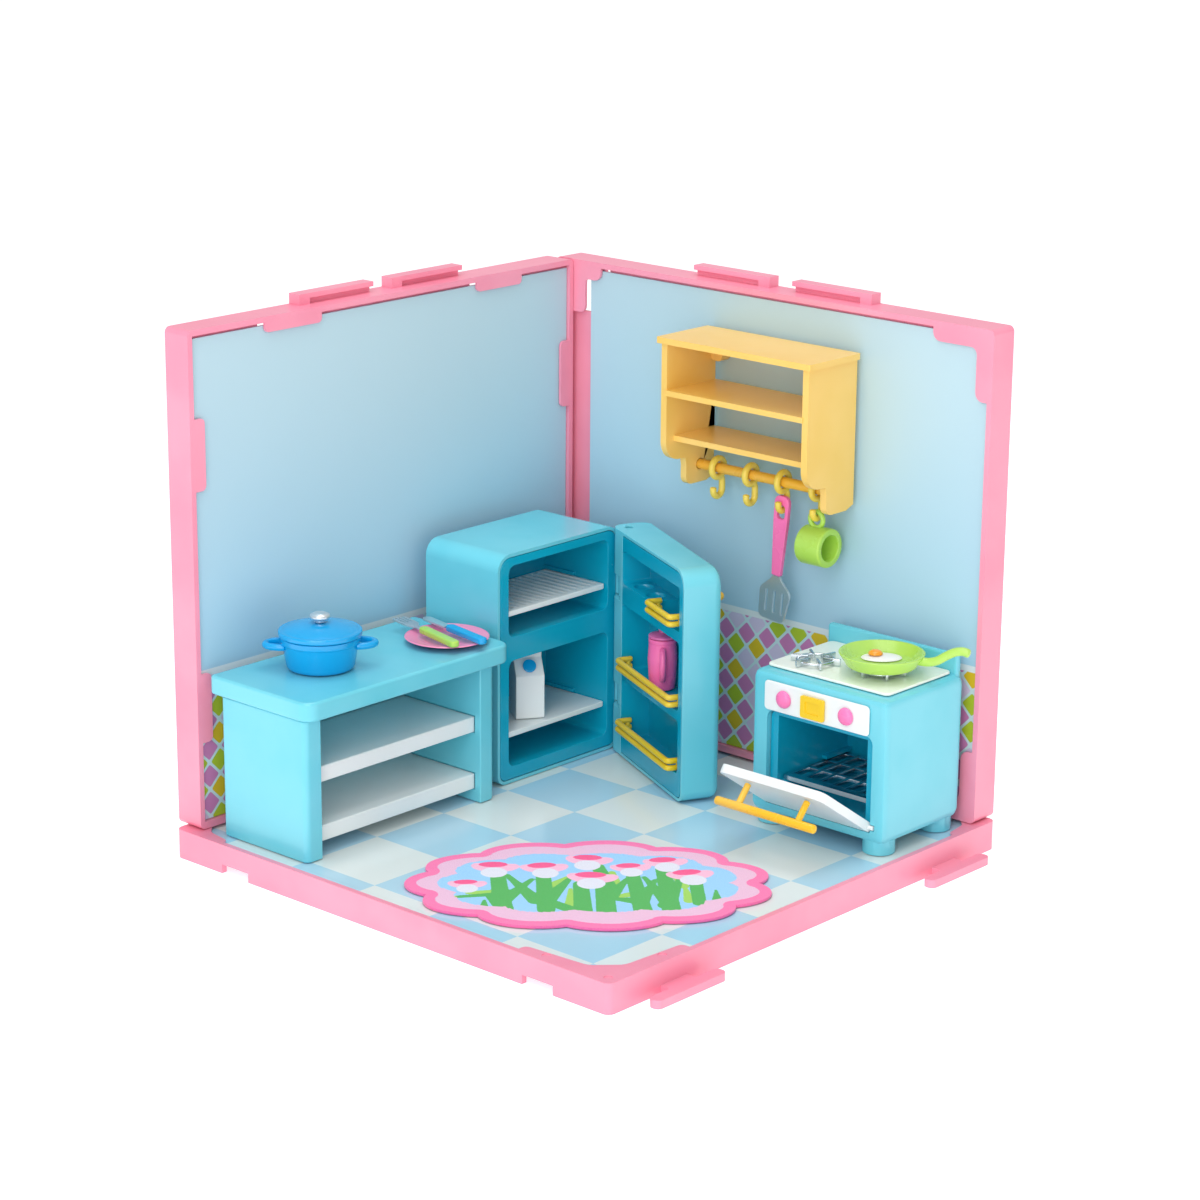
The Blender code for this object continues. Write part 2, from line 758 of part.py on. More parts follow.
def plate_and_cutlery():
    x, y = PLATE_AT
    low = COUNTER_SET_Z
    top = low + PLATE_H
    profile = [
        (0, low + 0.9),
        (PLATE_R * 0.6, low + 0.9),
        (PLATE_R - 0.6, top),
        (PLATE_R, top - 0.3),
        (PLATE_R * 0.62, low),
        (0, low),
    ]
    turned("plate", profile, (x, y, 0), ROSE, steps=36)
    bottom = top + GAP
    fork = empty_at("fork_middle", (-65.5, -15.3, bottom), -13.1, parent=ROOM)
    blade_t, grip_t, grip_w, grip_l = 0.8, 2.2, 3.6, 22.4
    head = plate(
        "fork_head",
        [
            (-15.6, -2.7, 0.8),
            (-6.0, -2.7, 2.0),
            (-3.4, -0.9, 1.0),
            (0, -0.9, 0),
            (0, 0.9, 0),
            (-3.4, 0.9, 1.0),
            (-6.0, 2.7, 2.0),
            (-15.6, 2.7, 0.8),
        ],
        0.7,
        0.7 + blade_t,
        "Z",
        SILVER,
        fork,
    )
    slots = [((-16.5, v - 0.35, 0), (-8.5, v + 0.35, 3)) for v in (-1.35, 0.0, 1.35)]
    cut(head, boxes("tine_gaps", slots, None, fork))
    grip = rectangle(GAP, -grip_w / 2, GAP + grip_l, grip_w / 2, 1.5)
    plate("fork_handle", grip, 0, grip_t, "Z", LIME, fork)
    knife = empty_at("knife_middle", (-60.6, -7.2, bottom), -10.5, parent=ROOM)
    plate(
        "knife_blade",
        [(-14.6, -1.2, 1.4), (-12, -2.0, 3.0), (0, -1.8, 0), (0, 1.4, 0), (-13.4, 1.6, 2.2)],
        0.7,
        0.7 + blade_t,
        "Z",
        SILVER,
        knife,
    )
    grip = rectangle(GAP, -grip_w / 2, GAP + grip_l - 0.6, grip_w / 2, 1.5)
    plate("knife_handle", grip, 0, grip_t, "Z", BLUE, knife)


# ---------------------------------------------------------------- fridge


def fridge_outline(inset):
    radii = tuple(max(radius - inset, 0.6) for radius in (4, 4, 6, 6))
    return rectangle(
        FRIDGE_LEFT + inset, STAND_Z + inset, FRIDGE_RIGHT - inset, FRIDGE_TOP - inset, radii
    )


def fridge():
    shell = plate(
        "fridge_shell", fridge_outline(0), FRIDGE_BACK, FRIDGE_FRONT, "X", TURQUOISE, segments=5
    )
    inner = fridge_outline(FRIDGE_SKIN)
    cut(shell, plate("hollow", inner, FRIDGE_BACK + FRIDGE_SKIN, FRIDGE_FRONT + 5, "X", segments=5))
    lug_r = 3.6
    for low, high in LUGS:
        eye = rod("lug", (HINGE_X, HINGE_Y, low), (HINGE_X, HINGE_Y, high), lug_r)
        root_y = FRIDGE_RIGHT - FRIDGE_SKIN * 0.9
        arm = box(
            "lug_arm",
            (FRIDGE_FRONT - 8, root_y, low + 0.01),
            (HINGE_X, HINGE_Y + lug_r - 0.4, high - 0.01),
        )
        bore = rod("lug_bore", (HINGE_X, HINGE_Y, low - 1), (HINGE_X, HINGE_Y, high + 1), PIN_R + GAP)
        join(shell, join(eye, arm))
        cut(shell, bore)
    liner_edge = FRIDGE_SKIN + GAP
    flange_t, wall = 2.0, 1.2
    liner = plate(
        "fridge_liner",
        fridge_outline(liner_edge),
        FRIDGE_FRONT - flange_t,
        FRIDGE_FRONT,
        "X",
        TURQUOISE,
        segments=5,
    )
    for low, high in (UPPER_BAY, LOWER_BAY):
        outer = rectangle(BAY_LEFT - wall, low - wall, BAY_RIGHT + wall, high + wall, 2.5)
        join(liner, plate("bay_wall", outer, BAY_BACK - wall, FRIDGE_FRONT - 1, "X", segments=3))
    for low, high in (UPPER_BAY, LOWER_BAY):
        hole = rectangle(BAY_LEFT, low, BAY_RIGHT, high, 2.8)
        cut(liner, plate("bay", hole, BAY_BACK, FRIDGE_FRONT + 5, "X", segments=3))
    ledge = 1.3
    spans = []
    for low, high in (WIRE_SHELF_Z, LOWER_SHELF_Z):
        for near, far in ((BAY_LEFT - 0.5, BAY_LEFT + ledge), (BAY_RIGHT - ledge, BAY_RIGHT + 0.5)):
            spans.append(((BAY_BACK - 0.5, near, low - GAP - ledge), (-57, far, low - GAP)))
            spans.append(((BAY_BACK - 0.5, near, high + GAP), (-66, far, high + GAP + ledge)))
    join(liner, boxes("shelf_ledges", spans))
    fridge_shelves()
    for name, (low, high) in zip(("fridge_hinge_pin_lower", "fridge_hinge_pin_upper"), LUGS):
        rod(name, (HINGE_X, HINGE_Y, low - 3.5), (HINGE_X, HINGE_Y, high + 3.5), PIN_R, SILVER)


def fridge_shelves():
    left, right = BAY_LEFT + GAP, BAY_RIGHT - GAP
    back = BAY_BACK + GAP
    low, high = WIRE_SHELF_Z
    edges = rectangle(back, left, FRIDGE_SHELF_FRONT, right, 0.8)
    wire = plate("fridge_wire_shelf", edges, low, high, "Z", WHITE, segments=2)
    pitch = (right - left) / (SLOTS + 0.4)
    start = (left + right) / 2 - pitch * (SLOTS - 1) / 2
    slots = []
    for index in range(SLOTS):
        middle = start + pitch * index
        slots.append(
            (
                (back + 1.2, middle - SLOT_W / 2, low - 1),
                (FRIDGE_SHELF_FRONT - 2.4, middle + SLOT_W / 2, high + 1),
            )
        )
    cut(wire, boxes("slots", slots))
    plate("fridge_lower_shelf", edges, *LOWER_SHELF_Z, "Z", WHITE, segments=2)


def fridge_door():
    """The door, measured from its hinge axis while closed: x outwards, -y to the free edge."""
    hinge = empty_at("fridge_door_axis", (HINGE_X, HINGE_Y, 0), DOOR_OPEN, parent=ROOM)
    inside = FRIDGE_FRONT + DOOR_GAP - HINGE_X
    outside = inside + DOOR_T
    free, knuckle = FRIDGE_LEFT - HINGE_Y, -inside
    low, high = STAND_Z + GAP, FRIDGE_TOP
    shell = box("fridge_door_shell", (inside, free, low), (outside, knuckle, high), TURQUOISE, hinge)
    round_door(shell, outside, free)
    lid_edge = -RECESS_HINGE + 0.8
    skin = FRIDGE_SKIN
    tray = rectangle(free + skin, low + skin, lid_edge, high - skin, (2.5, 0.6, 0.6, 5.5))
    cut(shell, plate("tray", tray, inside - 1, outside - skin - 0.3, "X", None, hinge))
    for start, end in LUGS:
        clear = 0.4
        low_corner, high_corner = (inside - 1, -4.4, start - clear), (4.4, knuckle + 1, end + clear)
        cut(
            shell,
            box("lug_room", low_corner, high_corner, None, hinge),
            rod("pin_bore", (0, 0, start - 4), (0, 0, end + 4), PIN_R + GAP, None, hinge),
        )
    cut(shell, rod("top_hole", (0, 0, high - 5), (0, 0, high + 1), 1.6, None, hinge))
    door_liner(hinge, inside, free, low, high, lid_edge)
    door_rails(hinge, inside)
    door_handle(hinge, outside)
    jug(hinge)


def round_door(shell, outside, free):
    """Rounds the outer edges of the door and its free corners."""
    bm = bmesh.new()
    bm.from_mesh(shell.data)
    hinge_side = max(vert.co.y for vert in bm.verts)
    top = max(vert.co.z for vert in bm.verts)
    groups = {"top": [], "bottom": [], "knuckle": []}
    for edge in bm.edges:
        a, b = (vert.co for vert in edge.verts)
        if abs(a.y - b.y) < 1e-6 and abs(a.z - b.z) < 1e-6 and abs(a.y - free * MM) < 1e-5:
            groups["top" if abs(a.z - top) < 1e-5 else "bottom"].append(edge)
        if abs(a.z - b.z) > 0.01 and abs(a.y - hinge_side) < 1e-5:
            groups["knuckle"].append(edge)
    for key, radius in (("top", 6.5), ("bottom", 4.0), ("knuckle", 4.6)):
        edges = [edge for edge in groups[key] if edge.is_valid]
        bmesh.ops.bevel(
            bm, geom=edges, offset=radius * MM, segments=4, profile=0.5, affect="EDGES"
        )
    rim = []
    for edge in bm.edges:
        if all(abs(vert.co.x - outside * MM) < 1e-5 for vert in edge.verts) and len(edge.link_faces) == 2:
            if abs(edge.calc_face_angle(0.0) - math.pi / 2) < 0.3:
                rim.append(edge)
    bmesh.ops.bevel(bm, geom=rim, offset=3.2 * MM, segments=3, profile=0.5, affect="EDGES")
    bmesh.ops.remove_doubles(bm, verts=bm.verts, dist=0.00001)
    bmesh.ops.recalc_face_normals(bm, faces=bm.faces)
    bm.to_mesh(shell.data)
    bm.free()
    shell.data.shade_smooth()
    shell.data.set_sharp_from_angle(angle=math.radians(35))


def door_liner(hinge, inside, free, low, high, lid_edge):
    edge = FRIDGE_SKIN + GAP
    outline = rectangle(free + edge, low + edge, lid_edge - GAP, high - edge, (2.2, 0.4, 0.4, 5.2))
    back = inside + RECESS_DEPTH
    liner = plate("fridge_door_liner", outline, inside, back + 1.2, "X", TURQUOISE, hinge)
    near, far, middle = -RECESS_HINGE, -RECESS_FREE, -33.0
    lip = 1.4

    def pocket(start, end, z0, z1, depth=0.0, radius=1.5):
        """An opening into the liner; depth leaves a lip of that thickness in front."""
        cutter = rectangle(start, z0, end, z1, radius)
        front = inside + depth if depth else inside - 1
        return plate("pocket", cutter, front, back, "X", None, hinge, segments=3)

    cut(
        liner,
        pocket(far, near, EGG_SHELF_Z, 88.0, radius=(0, 1.5, 1.5, 1.5)),
        pocket(far, middle, EGG_SHELF_Z - 5.9, EGG_SHELF_Z + 1.1, lip, 0.0),
        pocket(far, middle, EGG_SHELF_Z - 3.9, EGG_SHELF_Z + 0.6, 0.0, 0.0),
        pocket(far, near, DOOR_SHELF_Z, 68.1),
        pocket(far, near, DOOR_FLOOR_Z, DOOR_SHELF_Z - 3.4),
        pocket(far, near, DOOR_FLOOR_Z - 3, DOOR_FLOOR_Z + 2, lip, 0.0),
    )
    cup_x, cup_r = inside + RECESS_DEPTH * 0.5, 3.6
    for at in (-14.0, -25.5):
        profile = [(0, 0.5)] + [(r * cup_r, z * 2.0) for r, z in arc((0, 0), 1, 0, -90, 5)]
        profile.insert(1, (cup_r, 0.5))
        cut(liner, turned("egg_cup", profile, (cup_x, at, EGG_SHELF_Z), None, hinge, steps=16))


def door_rails(hinge, inside):
    """Double rails across the front of the door's shelves."""
    wire, proud, tuck = DOOR_RAIL_R, 2.4, 3.0
    front, end = inside - proud, inside + tuck
    near = RECESS_HINGE + wire + 0.25
    rows = (
        ("fridge_door_rail_top", EGG_SHELF_Z - 1.7, 35.0),
        ("fridge_door_rail_middle", DOOR_SHELF_Z + 1.8, near),
        ("fridge_door_rail_bottom", DOOR_FLOOR_Z + 1.4, near),
    )
    free = RECESS_FREE - 3.1
    bend = 1.2
    for name, low, start in rows:
        heights = (low + DOOR_RAIL_SPACING, low)
        bars = []
        for z in heights:
            plan = [(end, -start)]
            plan += arc((front + bend, -start - bend), bend, 90, 180, 3)
            plan += arc((front + bend, -free + bend), bend, 180, 270, 3)
            plan += [(end, -free)]
            bars.append(tube(name, [(x, y, z) for x, y in plan], wire, YELLOW, hinge))
        top, bottom = bars
        top.name = name
        posts = []
        for y in (-start, -free):
            ends = (end - wire, y, heights[1] - 0.3), (end - wire, y, heights[0] + 0.3)
            posts.append(rod("rail_post", *ends, wire * 0.9, None, hinge, sides=8))
        join(top, bottom, *posts)
        top.data.name = name


def door_handle(hinge, outside):
    bar_r, reach, z = 1.6, 6.0, DOOR_HANDLE_Z
    bar = rod("fridge_door_handle", (outside + reach, -47, z), (outside + reach, -22, z), bar_r, ORANGE, hinge)
    for y in (-43.0, -26.0):
        join(
            bar,
            rod("post", (outside + GAP, y, z), (outside + reach, y, z), 1.2, None, hinge, sides=12),
        )


def jug(hinge):
    """The jug stands on the door's middle shelf, with its handle towards the free edge."""
    low = DOOR_SHELF_Z + GAP
    place = (JUG_X, -JUG_S, 0)
    top = low + 18.7
    profile = [
        (0, low + 1.2),
        (JUG_R - 1.9, low + 1.2),
        (JUG_R - 1.1, low + 9),
        (JUG_R - 1.3, top),
        (JUG_R - 0.2, top),
        (JUG_R, low + 12),
        (JUG_R - 0.4, low + 5),
        (JUG_R - 0.7, low + 1),
        (JUG_R - 1.3, low),
        (0, low),
    ]
    body = turned("jug", profile, place, HOT_PINK, hinge, steps=24)
    turn = math.radians(-112)
    out = Vector((math.cos(turn), math.sin(turn), 0))
    points = []
    for u, v in arc((0, 0), 1, 90, -90, 8):
        spot = Vector(place) + out * (JUG_R - 1.0 + 3.9 * max(u, 0.0)) + Vector((0, 0, low + 10 + 5.6 * v))
        points.append(spot)
    join(body, tube("jug_handle", points, 1.15, None, hinge))
    seat = top + GAP
    lid = [
        (0, seat + 4.2),
        (1.5, seat + 3.9),
        (1.7, seat + 2.6),
        (1.2, seat + 1.8),
        (JUG_R - 1.4, seat + 1.2),
        (JUG_R - 0.1, seat + 0.7),
        (JUG_R - 0.1, seat),
        (0, seat),
    ]
    turned("jug_lid", lid, place, PALE_PINK, hinge, steps=24)


def milk_carton():
    low = LOWER_SHELF_Z[1] + GAP
    guide = empty_at("carton_middle", (*CARTON_AT, low), CARTON_TURN, parent=ROOM)
    half, ridge = CARTON_W / 2, 0.6
    fin = CARTON_H - 3.2
    sides = [
        (-half, 0, 0.4),
        (half, 0, 0.4),
        (half, CARTON_BODY_H, 0),
        (ridge, fin, 0),
        (ridge, CARTON_H, 0),
        (-ridge, CARTON_H, 0),
        (-ridge, fin, 0),
        (-half, CARTON_BODY_H, 0),
    ]
    plate("milk_carton", sides, -half, half, "X", WHITE, guide, segments=2)
    slope = Vector((0, -(half - ridge), fin - CARTON_BODY_H)).normalized()
    normal = Vector((0, -slope.z, -slope.y)).normalized()
    if normal.y > 0:
        normal.negate()
    middle = Vector((0, -(half + ridge) / 2, (CARTON_BODY_H + fin) / 2))
    ends = middle + normal * GAP, middle + normal * (GAP + 1.3)
    rod("milk_cap", *ends, 2.45, BLUE, guide, sides=20)


# ---------------------------------------------------------------- stove


def stove():
    low, high = (STOVE_X[0], STOVE_Y[0], STOVE_Z[0]), (STOVE_X[1], STOVE_Y[1], STOVE_Z[1])
    shell = box("stove_shell", low, high, TURQUOISE, edge=3.0)
    upstand_low = (STOVE_X[0] + 0.4, HOB_Y[1] + GAP, STOVE_Z[1] - 6)
    upstand_high = (STOVE_X[1] - 1.8, STOVE_Y[1] - 0.02, UPSTAND_TOP)
    join(shell, box("upstand", upstand_low, upstand_high, edge=1.2))
    for x in (STOVE_X[0] + FOOT_INSET, STOVE_X[1] - FOOT_INSET):
        for y in (STOVE_Y[0] + FOOT_INSET, STOVE_Y[1] - FOOT_INSET):
            join(shell, rod("foot", (x, y, STAND_Z), (x, y, STOVE_Z[0] + 1), FOOT_R, sides=20))
    skin = STOVE_SKIN
    front_t = 5.0
    rebate_y = STOVE_Y[0] + 3.4
    tub = oven_tub()
    cut(
        shell,
        box(
            "hollow",
            (STOVE_X[0] + skin, STOVE_Y[0] + front_t, STOVE_Z[0] + skin),
            (STOVE_X[1] - skin, STOVE_Y[1] + 1, STOVE_Z[1] - skin),
        ),
        plate(
            "rebate",
            rectangle(OVEN_X[0], OVEN_Z[0], OVEN_X[1], OVEN_Z[1], (0.2, 0.2, OVEN_R, OVEN_R)),
            STOVE_Y[0] - 1,
            rebate_y,
            "Y",
        ),
        box(
            "tub_room",
            (tub[0] - GAP, STOVE_Y[0], tub[1] - GAP),
            (tub[2] + GAP, STOVE_Y[0] + front_t + 1, tub[3] + GAP),
        ),
        rod("pivot_bore", pivot(OVEN_X[0] - 1.8), pivot(OVEN_X[1] + 1.8), 1.1),
    )
    oven_liner(tub, rebate_y)
    hob_low = STOVE_Z[1] + GAP
    hob = rectangle(HOB_X[0], HOB_Y[0], HOB_X[1], HOB_Y[1], 2.0)
    plate("hob_plate", hob, hob_low, hob_low + HOB_T, "Z", MINT_WHITE)
    grate("burner_grate_left", LEFT_BURNER, hob_low + HOB_T + GAP)
    grate("burner_grate_right", RIGHT_BURNER, hob_low + HOB_T + GAP)
    controls()


def oven_tub():
    """Outer edges of the oven tub behind the rebate: x, z low and x, z high."""
    wall = 1.2
    return (
        OVEN_X[0] + OVEN_RIM - wall,
        OVEN_Z[0] + 2.0 - wall,
        OVEN_X[1] - OVEN_RIM + wall,
        OVEN_Z[1] - 2.0 + wall,
    )


def pivot(x):
    return (x, STOVE_Y[0] + 0.1, OVEN_Z[0] + GAP + OVEN_DOOR_T / 2)


def oven_liner(tub, rebate_y):
    wall = 1.2
    rim = rectangle(
        OVEN_X[0] + GAP, OVEN_Z[0] + GAP, OVEN_X[1] - GAP, OVEN_Z[1] - GAP, (0.2, 0.2, OVEN_R, OVEN_R)
    )
    liner = plate("oven_liner", rim, rebate_y - GAP - 1.1, rebate_y - GAP, "Y", TURQUOISE)
    x0, z0, x1, z1 = tub
    inner = (x0 + wall, z0 + wall, x1 - wall, z1 - wall)
    join(liner, box("tub", (x0, rebate_y - 1, z0), (x1, OVEN_BACK + wall, z1)))
    cut(liner, box("oven", (inner[0], rebate_y - 5, inner[1]), (inner[2], OVEN_BACK, inner[3])))
    low = RACK_TOP - RACK_T - GAP
    ledge = 2.2
    spans = []
    for near, far in ((inner[0] - 0.5, inner[0] + ledge), (inner[2] - ledge, inner[2] + 0.5)):
        spans.append(((near, rebate_y + 1.5, low - 1.2), (far, OVEN_BACK + 0.5, low)))
        spans.append(((near, 70.0, RACK_TOP + GAP), (far, OVEN_BACK + 0.5, RACK_TOP + GAP + 1.2)))
    join(liner, boxes("rack_ledges", spans))
    rack_x = (inner[0] + 2 * GAP, inner[2] - 2 * GAP)
    rack = box(
        "oven_rack", (rack_x[0], RACK_FRONT, RACK_TOP - RACK_T), (rack_x[1], RACK_BACK, RACK_TOP), STEEL
    )
    columns, rows, bar = 6, 3, 1.6
    width = (rack_x[1] - rack_x[0] - bar) / columns
    depth = (RACK_BACK - RACK_FRONT - 2.6 - bar) / rows
    cells = []
    for column in range(columns):
        for row in range(rows):
            u = rack_x[0] + bar + width * column
            v = RACK_FRONT + 2.6 + depth * row
            cells.append(
                ((u, v, RACK_TOP - RACK_T - 1), (u + width - bar, v + depth - bar, RACK_TOP + 1))
            )
    cut(rack, boxes("cells", cells))


def grate(name, at, low):
    """A burner's wire ring with six upright prongs."""
    ring_r, prong_t, inner = 6.3, 0.9, 2.6
    base = ring(name, (*at, (low + BURNER_TOP) / 2), ring_r, 0.55, STEEL, steps=20)
    prongs = []
    for index in range(6):
        turn = math.radians(60 * index + 20)
        out = Vector((math.cos(turn), math.sin(turn)))
        side = Vector((-out.y, out.x)) * prong_t / 2
        start, end = Vector(at) + out * inner, Vector(at) + out * BURNER_R
        corners = [start - side, end - side, end + side, start + side]
        prongs.append(slab("prong", [tuple(c) for c in corners], low, BURNER_TOP))
    return join(base, *prongs)


def controls():
    face = STOVE_Y[0] - GAP
    panel = rectangle(PANEL_X[0], OVEN_Z[1] + GAP, PANEL_X[1], PANEL_Z_TOP, 1.5)
    plate("control_panel", panel, face - 0.9, face, "Y", WHITE)
    front = face - 0.9 - GAP
    for name, x in zip(("knob_left", "knob_right"), KNOB_X):
        turned(name, dome_profile(KNOB_R, 1.9), (x, front, CONTROLS_Z), HOT_PINK, steps=24, axis="Y")
    low, high = CONTROLS_Z - 4.1, CONTROLS_Z + 3.6
    display = rectangle(DISPLAY_X[0], low, DISPLAY_X[1], high, 0.6)
    window = rectangle(DISPLAY_X[0] + 2, low + 1.8, DISPLAY_X[1] - 2, high - 1.8, 0.3)
    screen = plate("oven_display", display, front - 1.0, front, "Y", GOLD, segments=2)
    cut(screen, plate("window", window, front - 2, front - 0.5, "Y", segments=2))


def oven_door():
    """The oven door, measured from its pivot while closed: z up, -y outwards."""
    at = pivot(0)
    axis = empty_at("oven_door_axis", at, OVEN_DOOR_OPEN, "X", parent=ROOM)
    half = OVEN_DOOR_T / 2
    left, right = OVEN_X[0] + OVEN_DOOR_GAP, OVEN_X[1] - OVEN_DOOR_GAP
    height = OVEN_Z[1] - GAP - at[2]
    face = rectangle(left, 0, right, height, (0, 0, OVEN_R, OVEN_R))
    door = plate("oven_door", face, -half, half, "Y", WHITE, axis)
    join(
        door,
        rod("knuckle", (left, 0, 0), (right, 0, 0), half, None, axis, sides=24),
        rod("pivots", (OVEN_X[0] - 1.4, 0, 0), (OVEN_X[1] + 1.4, 0, 0), 0.8, None, axis, sides=12),
    )
    bar_y, bar_z, bar_r = half - 12.2, height - 3.3, 1.55
    bar = rod("oven_door_handle", (45.0, bar_y, bar_z), (88.0, bar_y, bar_z), bar_r, ORANGE, axis)
    for x in (54.6, 80.0):
        ends = (x, -half - GAP, bar_z - 1.0), (x, bar_y, bar_z)
        join(bar, rod("post", *ends, 1.15, None, axis, sides=12))


def frying_pan():
    x, y = RIGHT_BURNER
    low = BURNER_TOP + GAP
    rim = low + PAN_H
    floor = low + 1.6
    profile = [
        (0, floor),
        (PAN_BASE_R - 1.4, floor),
        (PAN_BASE_R - 0.4, floor + 0.7),
        (PAN_RIM_R - 1.0, rim),
        (PAN_RIM_R, rim),
        (PAN_BASE_R + 0.5, low + 0.8),
        (PAN_BASE_R - 0.5, low),
        (0, low),
    ]
    pan = turned("frying_pan", profile, (x, y, 0), LIME, steps=36)
    turn = math.radians(PAN_TURN)
    out = Vector((math.cos(turn), math.sin(turn), 0))
    way = ((13.4, 3.2), (16.5, 3.3), (19.5, 4.2), (22.5, 6.2), (25.5, 7.9), (28.2, 8.5), (30.6, 8.0))
    points = [Vector((x, y, low)) + out * u + Vector((0, 0, v)) for u, v in way]
    join(pan, tube("pan_handle", points, 1.5, resolution=2))
    white_h = 1.0
    egg = turned("egg_white", dome_profile(5.0, white_h), (x - 1.9, y + 2.4, floor + GAP), EGG, steps=24)
    egg.scale[0] = 1.4
    egg.rotation_euler[2] = math.radians(42)
    yolk_at = (x - 3.6, y + 1.2, floor + GAP + white_h + GAP)
    turned("egg_yolk", dome_profile(2.5, 1.5), yolk_at, YOLK, steps=20)


# ---------------------------------------------------------------- wall shelf


def wall_shelf():
    left, right = SHELF_X
    front, back = SHELF_Y
    top = SHELF_TOP - SHELF_BOARD
    over = SHELF_OVERHANG
    unit = plate(
        "wall_shelf_unit",
        rectangle(left - over, front - over, right + over, back, 0.6),
        top,
        SHELF_TOP,
        "Z",
        SHELF_YELLOW,
        segments=2,
    )
    knee = SHELF_STEP_Z + 6.0
    side = [(back, top + 0.5), (front, top + 0.5), (front, knee)]
    side += arc((front + 7.0, knee), 7.0, 190, 265, 5)
    side += [(SHELF_TAIL_FRONT - 0.6, SHELF_STEP_Z - 1.2), (SHELF_TAIL_FRONT, SHELF_STEP_Z - 4)]
    side += arc((SHELF_TAIL_FRONT + 3, SHELF_BOTTOM + 3), 3.0, 180, 270, 4)
    side += [(back - 4, SHELF_BOTTOM), (back, SHELF_BOTTOM + 1.6)]
    for low, high in ((left, left + SHELF_SIDE), (right - SHELF_SIDE, right)):
        join(unit, slab("side", side, low, high, "X"))
    inner = (left + SHELF_SIDE - 0.5, right - SHELF_SIDE + 0.5)
    boards = (
        (MID_SHELF_Z, front - 0.6),
        (LOW_SHELF_Z, LOW_SHELF_FRONT),
    )
    for level, edge in boards:
        join(unit, box("board", (inner[0], edge, level - 2.0), (inner[1], back - 0.02, level)))
    lug_x = left + SHELF_SIDE - 0.5
    hook_y = BACK_WALL_FACE + WALL_CARD_DROP - GAP
    for start, end in ((lug_x, lug_x + 5.5), (right - SHELF_SIDE - 5, right - SHELF_SIDE + 0.5)):
        lug = plate(
            "lug", rectangle(start, top - 9.5, end, top + 0.5, (2, 2, 0, 0)), back - 2.4, hook_y, "Y"
        )
        join(unit, lug)
    depth = 1.4
    ends = (left + SHELF_SIDE - depth, right - SHELF_SIDE + depth)
    for start, end in ((ends[0], ends[0] + 4), (ends[1] - 4, ends[1])):
        cut(unit, rod("rail_bore", (start, RAIL_Y, RAIL_Z), (end, RAIL_Y, RAIL_Z), RAIL_R + GAP))
    rod(
        "utensil_rail",
        (ends[0] + GAP, RAIL_Y, RAIL_Z),
        (ends[1] - GAP, RAIL_Y, RAIL_Z),
        RAIL_R,
        RAIL_YELLOW,
        sides=20,
    )
    for index, x in enumerate(HOOK_X):
        hook(f"hook_{index + 1}", x)


def hook(name, x):
    """A ring round the rail with a J below it, both in the plane across the rail."""
    guide = empty_at(name + "_axis", (x, RAIL_Y, RAIL_Z), parent=ROOM)
    ring_r = RAIL_R + GAP + HOOK_WIRE
    eye = ring(name, (0, 0, 0), ring_r, HOOK_WIRE, LEMON, guide, axis="X", steps=16)
    points = [(0, 1.5, -ring_r + 0.5), (0, 2.2, -ring_r - 0.7), (0, HOOK_BEND, -ring_r - 2.0)]
    points += [(0, y, z) for y, z in arc((0, -HOOK_DROP), HOOK_BEND, 0, -180, 8)]
    points.append((0, -HOOK_BEND + 0.1, -HOOK_DROP + 0.7))
    join(eye, tube("bend", points, HOOK_WIRE, None, guide))


def hook_low(index):
    """The middle of the wire at the bottom of a hook's bend, where things hang."""
    return (HOOK_X[index], RAIL_Y, RAIL_Z - HOOK_DROP - HOOK_BEND)


def spatula():
    """Measured from the hook's bend, hanging down."""
    guide = empty_at("spatula_axis", hook_low(2), 4.2, "Y", parent=ROOM)
    half_t, hole = 0.9, HOOK_WIRE + 0.55
    top, end = 5.4, -24.0
    handle = plate(
        "spatula_handle",
        [(-3.2, top, 2.4), (-3.1, -4, 4), (-1.9, end, 0.4), (1.9, end, 0.4), (3.1, -4, 4), (3.2, top, 2.4)],
        -half_t,
        half_t,
        "Y",
        HOT_PINK,
        guide,
    )
    eye = rectangle(-hole, -3.0, hole, HOOK_WIRE + 0.7, 1.2)
    cut(handle, plate("eye", eye, -2, 2, "Y", None, guide))
    neck, blade_low = end - GAP, end - 17.0
    blade = plate(
        "spatula_blade",
        [
            (-1.6, neck, 0),
            (-2.4, neck - 1.4, 1),
            (-6.9, neck - 5.5, 3),
            (-6.6, blade_low + 0.4, 2),
            (4.4, blade_low, 2),
            (6.9, neck - 5.5, 3),
            (2.4, neck - 1.4, 1),
            (1.6, neck, 0),
        ],
        -0.5,
        0.5,
        "Y",
        SILVER,
        guide,
    )
    slots = []
    for x in (-3.6, 0.0, 3.6):
        slots.append(((x - 0.5, -2, blade_low + 3.0), (x + 0.5, 2, neck - 5.6)))
    cut(blade, boxes("slots", slots, None, guide))


def mug():
    """A mug that hangs by its ring, with its mouth to the right."""
    guide = empty_at("mug_axis", hook_low(3), parent=ROOM)
    ring_r, wire = 2.8, 0.9
    ring_z = HOOK_BEND - ring_r
    middle = ring_z - ring_r - MUG_R + 0.4
    half, wall = MUG_L / 2, 1.6
    profile = [
        (0, -half + wall),
        (MUG_BORE_R, -half + wall),
        (MUG_BORE_R, half - 0.5),
        (MUG_BORE_R + 0.5, half),
        (MUG_R - 0.9, half),
        (MUG_R, half - 0.9),
        (MUG_R, -half + 0.9),
        (MUG_R - 0.9, -half),
        (0, -half),
    ]
    body = turned("mug", profile, (0.8, 0, middle), LIME, guide, steps=28, axis="X")
    join(body, ring("mug_ring", (0, 0, ring_z), ring_r, wire, None, guide, axis="Y", steps=24))


